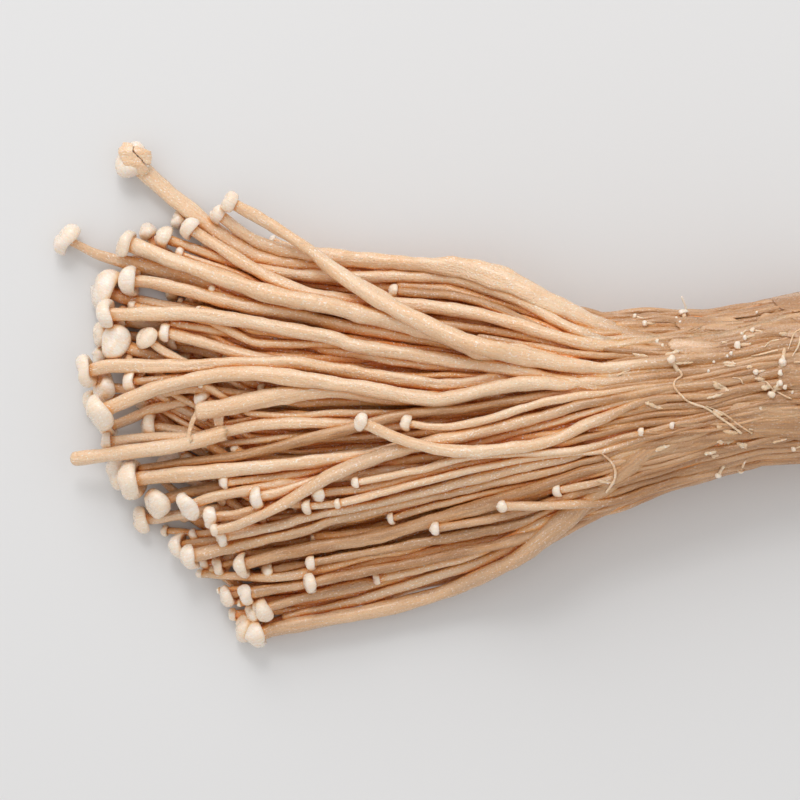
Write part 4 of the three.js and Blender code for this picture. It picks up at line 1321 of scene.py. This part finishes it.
def add_sheets(pile, crushed, broken, tree, rng):
    """The torn skin of the neck, of the crushed cap and of the broken stem."""
    for outline in NECK_SHEETS:
        add_sheet(pile, outline, on_neck, NECK_SKIN, rng, rng.uniform(1.15, 1.55), 0.35)
    tip = crushed.path[0]

    def over_cap(plan, height):
        far = np.linalg.norm(plan - tip[:2] - [0.4, 0.9], axis=1)
        return np.column_stack([plan, tip[2] + 3.4 - 0.09 * far ** 2 + height])

    for outline in CAP_SHEETS:
        add_sheet(pile, outline, over_cap, CAP_SKIN, rng, -0.5)
    x, y, z = broken.path[0]

    def under_stem(plan, height):
        return np.column_stack([plan, z - 0.2 + 0.35 * (plan[:, 1] - y) + height])

    add_sheet(pile, WEB, under_stem, WEB_SKIN, rng, -0.6)
    run = np.array([[x + 0.5, y + 0.2, z], [x - 0.3, y - 1.4, z - 0.2], [x - 1.0, y - 3.2, z - 1.0],
                    [x - 1.3, y - 4.8, z - 1.8], [x - 0.7, y - 5.9, z - 2.2]])
    ground = on_surface(tree, run[:, :2], 0.3)
    run[2:, 2] = np.maximum(run[2:, 2], ground[2:, 2])
    flap = thin_stem(spline(run, 30), 1.1, 0, rng)
    flap.over = np.tile([-0.5, 0.0, 0.85], (len(flap.path), 1))
    flap.low = np.full(len(flap.path), 0.3)
    flap.tone = -1.2
    add_stem(pile, flap, rng, 12)


def tear_end(pile, sides, rng):
    """Pulls the last ring of the last stem into a ragged edge and hollows its end."""
    points = pile.points[-1]
    last = points[-2 - sides:-2]
    ahead = last.mean(0) - points[-2 - 2 * sides:-2 - sides].mean(0)
    ahead /= np.linalg.norm(ahead)
    angle = ring_angles(sides)
    jag = 0.7 * np.sin(angle - 0.3) + 0.3 * np.sin(3 * angle + 1) + rng.normal(0, 0.16, sides)
    last += ahead * jag[:, None]
    points[-1] -= ahead * 1.4


def snapped_stem():
    """The loose stem: no cap and a rounded left end."""
    run = [[15.2, -11.8, 7.1], [25, -10.5, 9.3], [36, -9, 11.5], [45.2, -6.6, 13.55]]
    stem = Stem(None, 14, (2.8, 2.8), 0, 0, None, 0)
    stem.path, length = arc_steps(spline(run, 60), STEM_STEP)
    stem.radii = 1.4 * (1 + 0.04 * np.sin(length * 0.8))
    stem.plain_section()
    return stem


def laid_stems(rng):
    """All stems of the bunch by group, each with its path."""
    groups = {"upper": UPPER_STEMS, "middle": MIDDLE_STEMS, "lower": LOWER_STEMS,
              "edge": EDGE_STEMS + NECK_STEMS, "small": SMALL_STEMS}
    named = {name: [drawn_stem(row) for row in rows] for name, rows in groups.items()}
    for (name, row), ribbon in RIBBONS.items():
        named[name][row].ribbon = ribbon
    named["upper"][CRUSHED].ragged = 0.02
    named["under"] = rule_stems()
    named["inner"] = extra_stems(rng)
    stems = [stem for members in named.values() for stem in members]
    named["neck"] = lay_paths(stems, rng)
    lessen_caps(named["inner"])
    return named


def skin_piles(named, caps, rng):
    """The skin of the stems, one pile a group, and the caps of all of them."""
    piles = {}
    for name, members in named.items():
        pile = Pile()
        for stem in members:
            # A random tone, the group's shift, and painted light: the higher a stem lies in the pile,
            # the lighter it is painted.
            stem.tone = rng.uniform(-1.1, 0.7) + GROUP_TONE_AND_SHADE.get(name, 0) - 1.6 * max(stem.lift, 0)
            stem.wrinkle = rng.uniform(0.012, 0.045)
            add_stem(pile, stem, rng, SIDES.get(name, STEM_SIDES))
            if stem.cap > 0:
                add_cap(caps, stem, rng)
        piles["stems_" + name] = pile
    return piles


def build():
    rng = np.random.default_rng(DRAW_SEED)
    named = laid_stems(rng)
    caps = Pile()
    piles = skin_piles(named, caps, rng)
    piles["root_core"] = core_pile(rng)
    piles["root_cut_face"] = cut_face_pile(rng)
    loose = Pile()
    add_stem(loose, snapped_stem(), rng)
    tear_end(loose, STEM_SIDES, rng)
    tree = pile_tree([*piles.values(), caps, loose])
    small = Pile()
    add_small_things(small, caps, tree, rng)
    add_shreds(small, tree, rng)
    add_sheets(small, named["upper"][CRUSHED], named["middle"][BROKEN], tree, rng)
    stem_flesh = flesh("stem_flesh", **STEM_FLESH)
    cap_flesh = flesh("cap_flesh", **CAP_FLESH)
    pieces = [make_piece(name, pile, stem_flesh) for name, pile in piles.items()]
    pieces.append(make_piece("caps", caps, cap_flesh))
    pieces.append(make_piece("fibres_and_shreds", small, stem_flesh))
    pieces.append(make_piece("snapped_stem_skin", loose, stem_flesh, "snapped_stem"))
    measure_crevice_shade(pieces, tree, rng)


def lay_floor():
    mesh = bpy.data.meshes.new("floor")
    size = 3.0
    mesh.from_pydata([(-size, -size, 0), (size, -size, 0), (size, size, 0), (-size, size, 0)],
                     [], [(0, 1, 2, 3)])
    floor = new_object("floor", mesh)
    floor.location.z = FLOOR_LEVEL
    n = Nodes("pale_floor")
    shader = n.add("ShaderNodeBsdfPrincipled")
    shader.inputs["Base Color"].default_value = (0.74, 0.74, 0.75, 1)
    shader.inputs["Roughness"].default_value = 0.9
    mesh.materials.append(n.end_with(shader))


def light_studio():
    world = bpy.data.worlds.new("studio")
    bpy.context.scene.world = world
    world.use_nodes = True
    background = world.node_tree.nodes["Background"]
    background.inputs["Color"].default_value = (1.0, 0.99, 0.97, 1)
    background.inputs["Strength"].default_value = 0.78

    lights = [("key", (-0.3, 0.9, 0.6), 0.7, 4.1), ("glint", (-0.15, 0.7, 0.9), 0.25, 1.5)]
    for name, place, size, power in lights:
        light = bpy.data.lights.new(name, "AREA")
        light.size = size
        light.energy = power
        lamp = new_object(name, light)
        lamp.location = place
        lamp.rotation_euler = (-Vector(place)).to_track_quat("-Z", "Y").to_euler()


def plain_colours():
    """Shows colours as they are, with no film look."""
    view = bpy.context.scene.view_settings
    view.view_transform = "Standard"
    view.look = "None"


def camera():
    """Straight above, as far off as keeps the picture's 160 mm at the height of the pile."""
    height = 1.1
    level = 0.010
    data = bpy.data.cameras.new("camera")
    data.sensor_width = 36
    data.lens = data.sensor_width * (height - level) / PICTURE_WIDTH
    data.clip_end = 10
    eye = new_object("camera", data)
    x, y = (PICTURE_MIDDLE - PLAN_MIDDLE[:2]) / 1000
    eye.location = (x, y, height)
    bpy.context.scene.camera = eye


build()
lay_floor()
light_studio()
camera()
plain_colours()
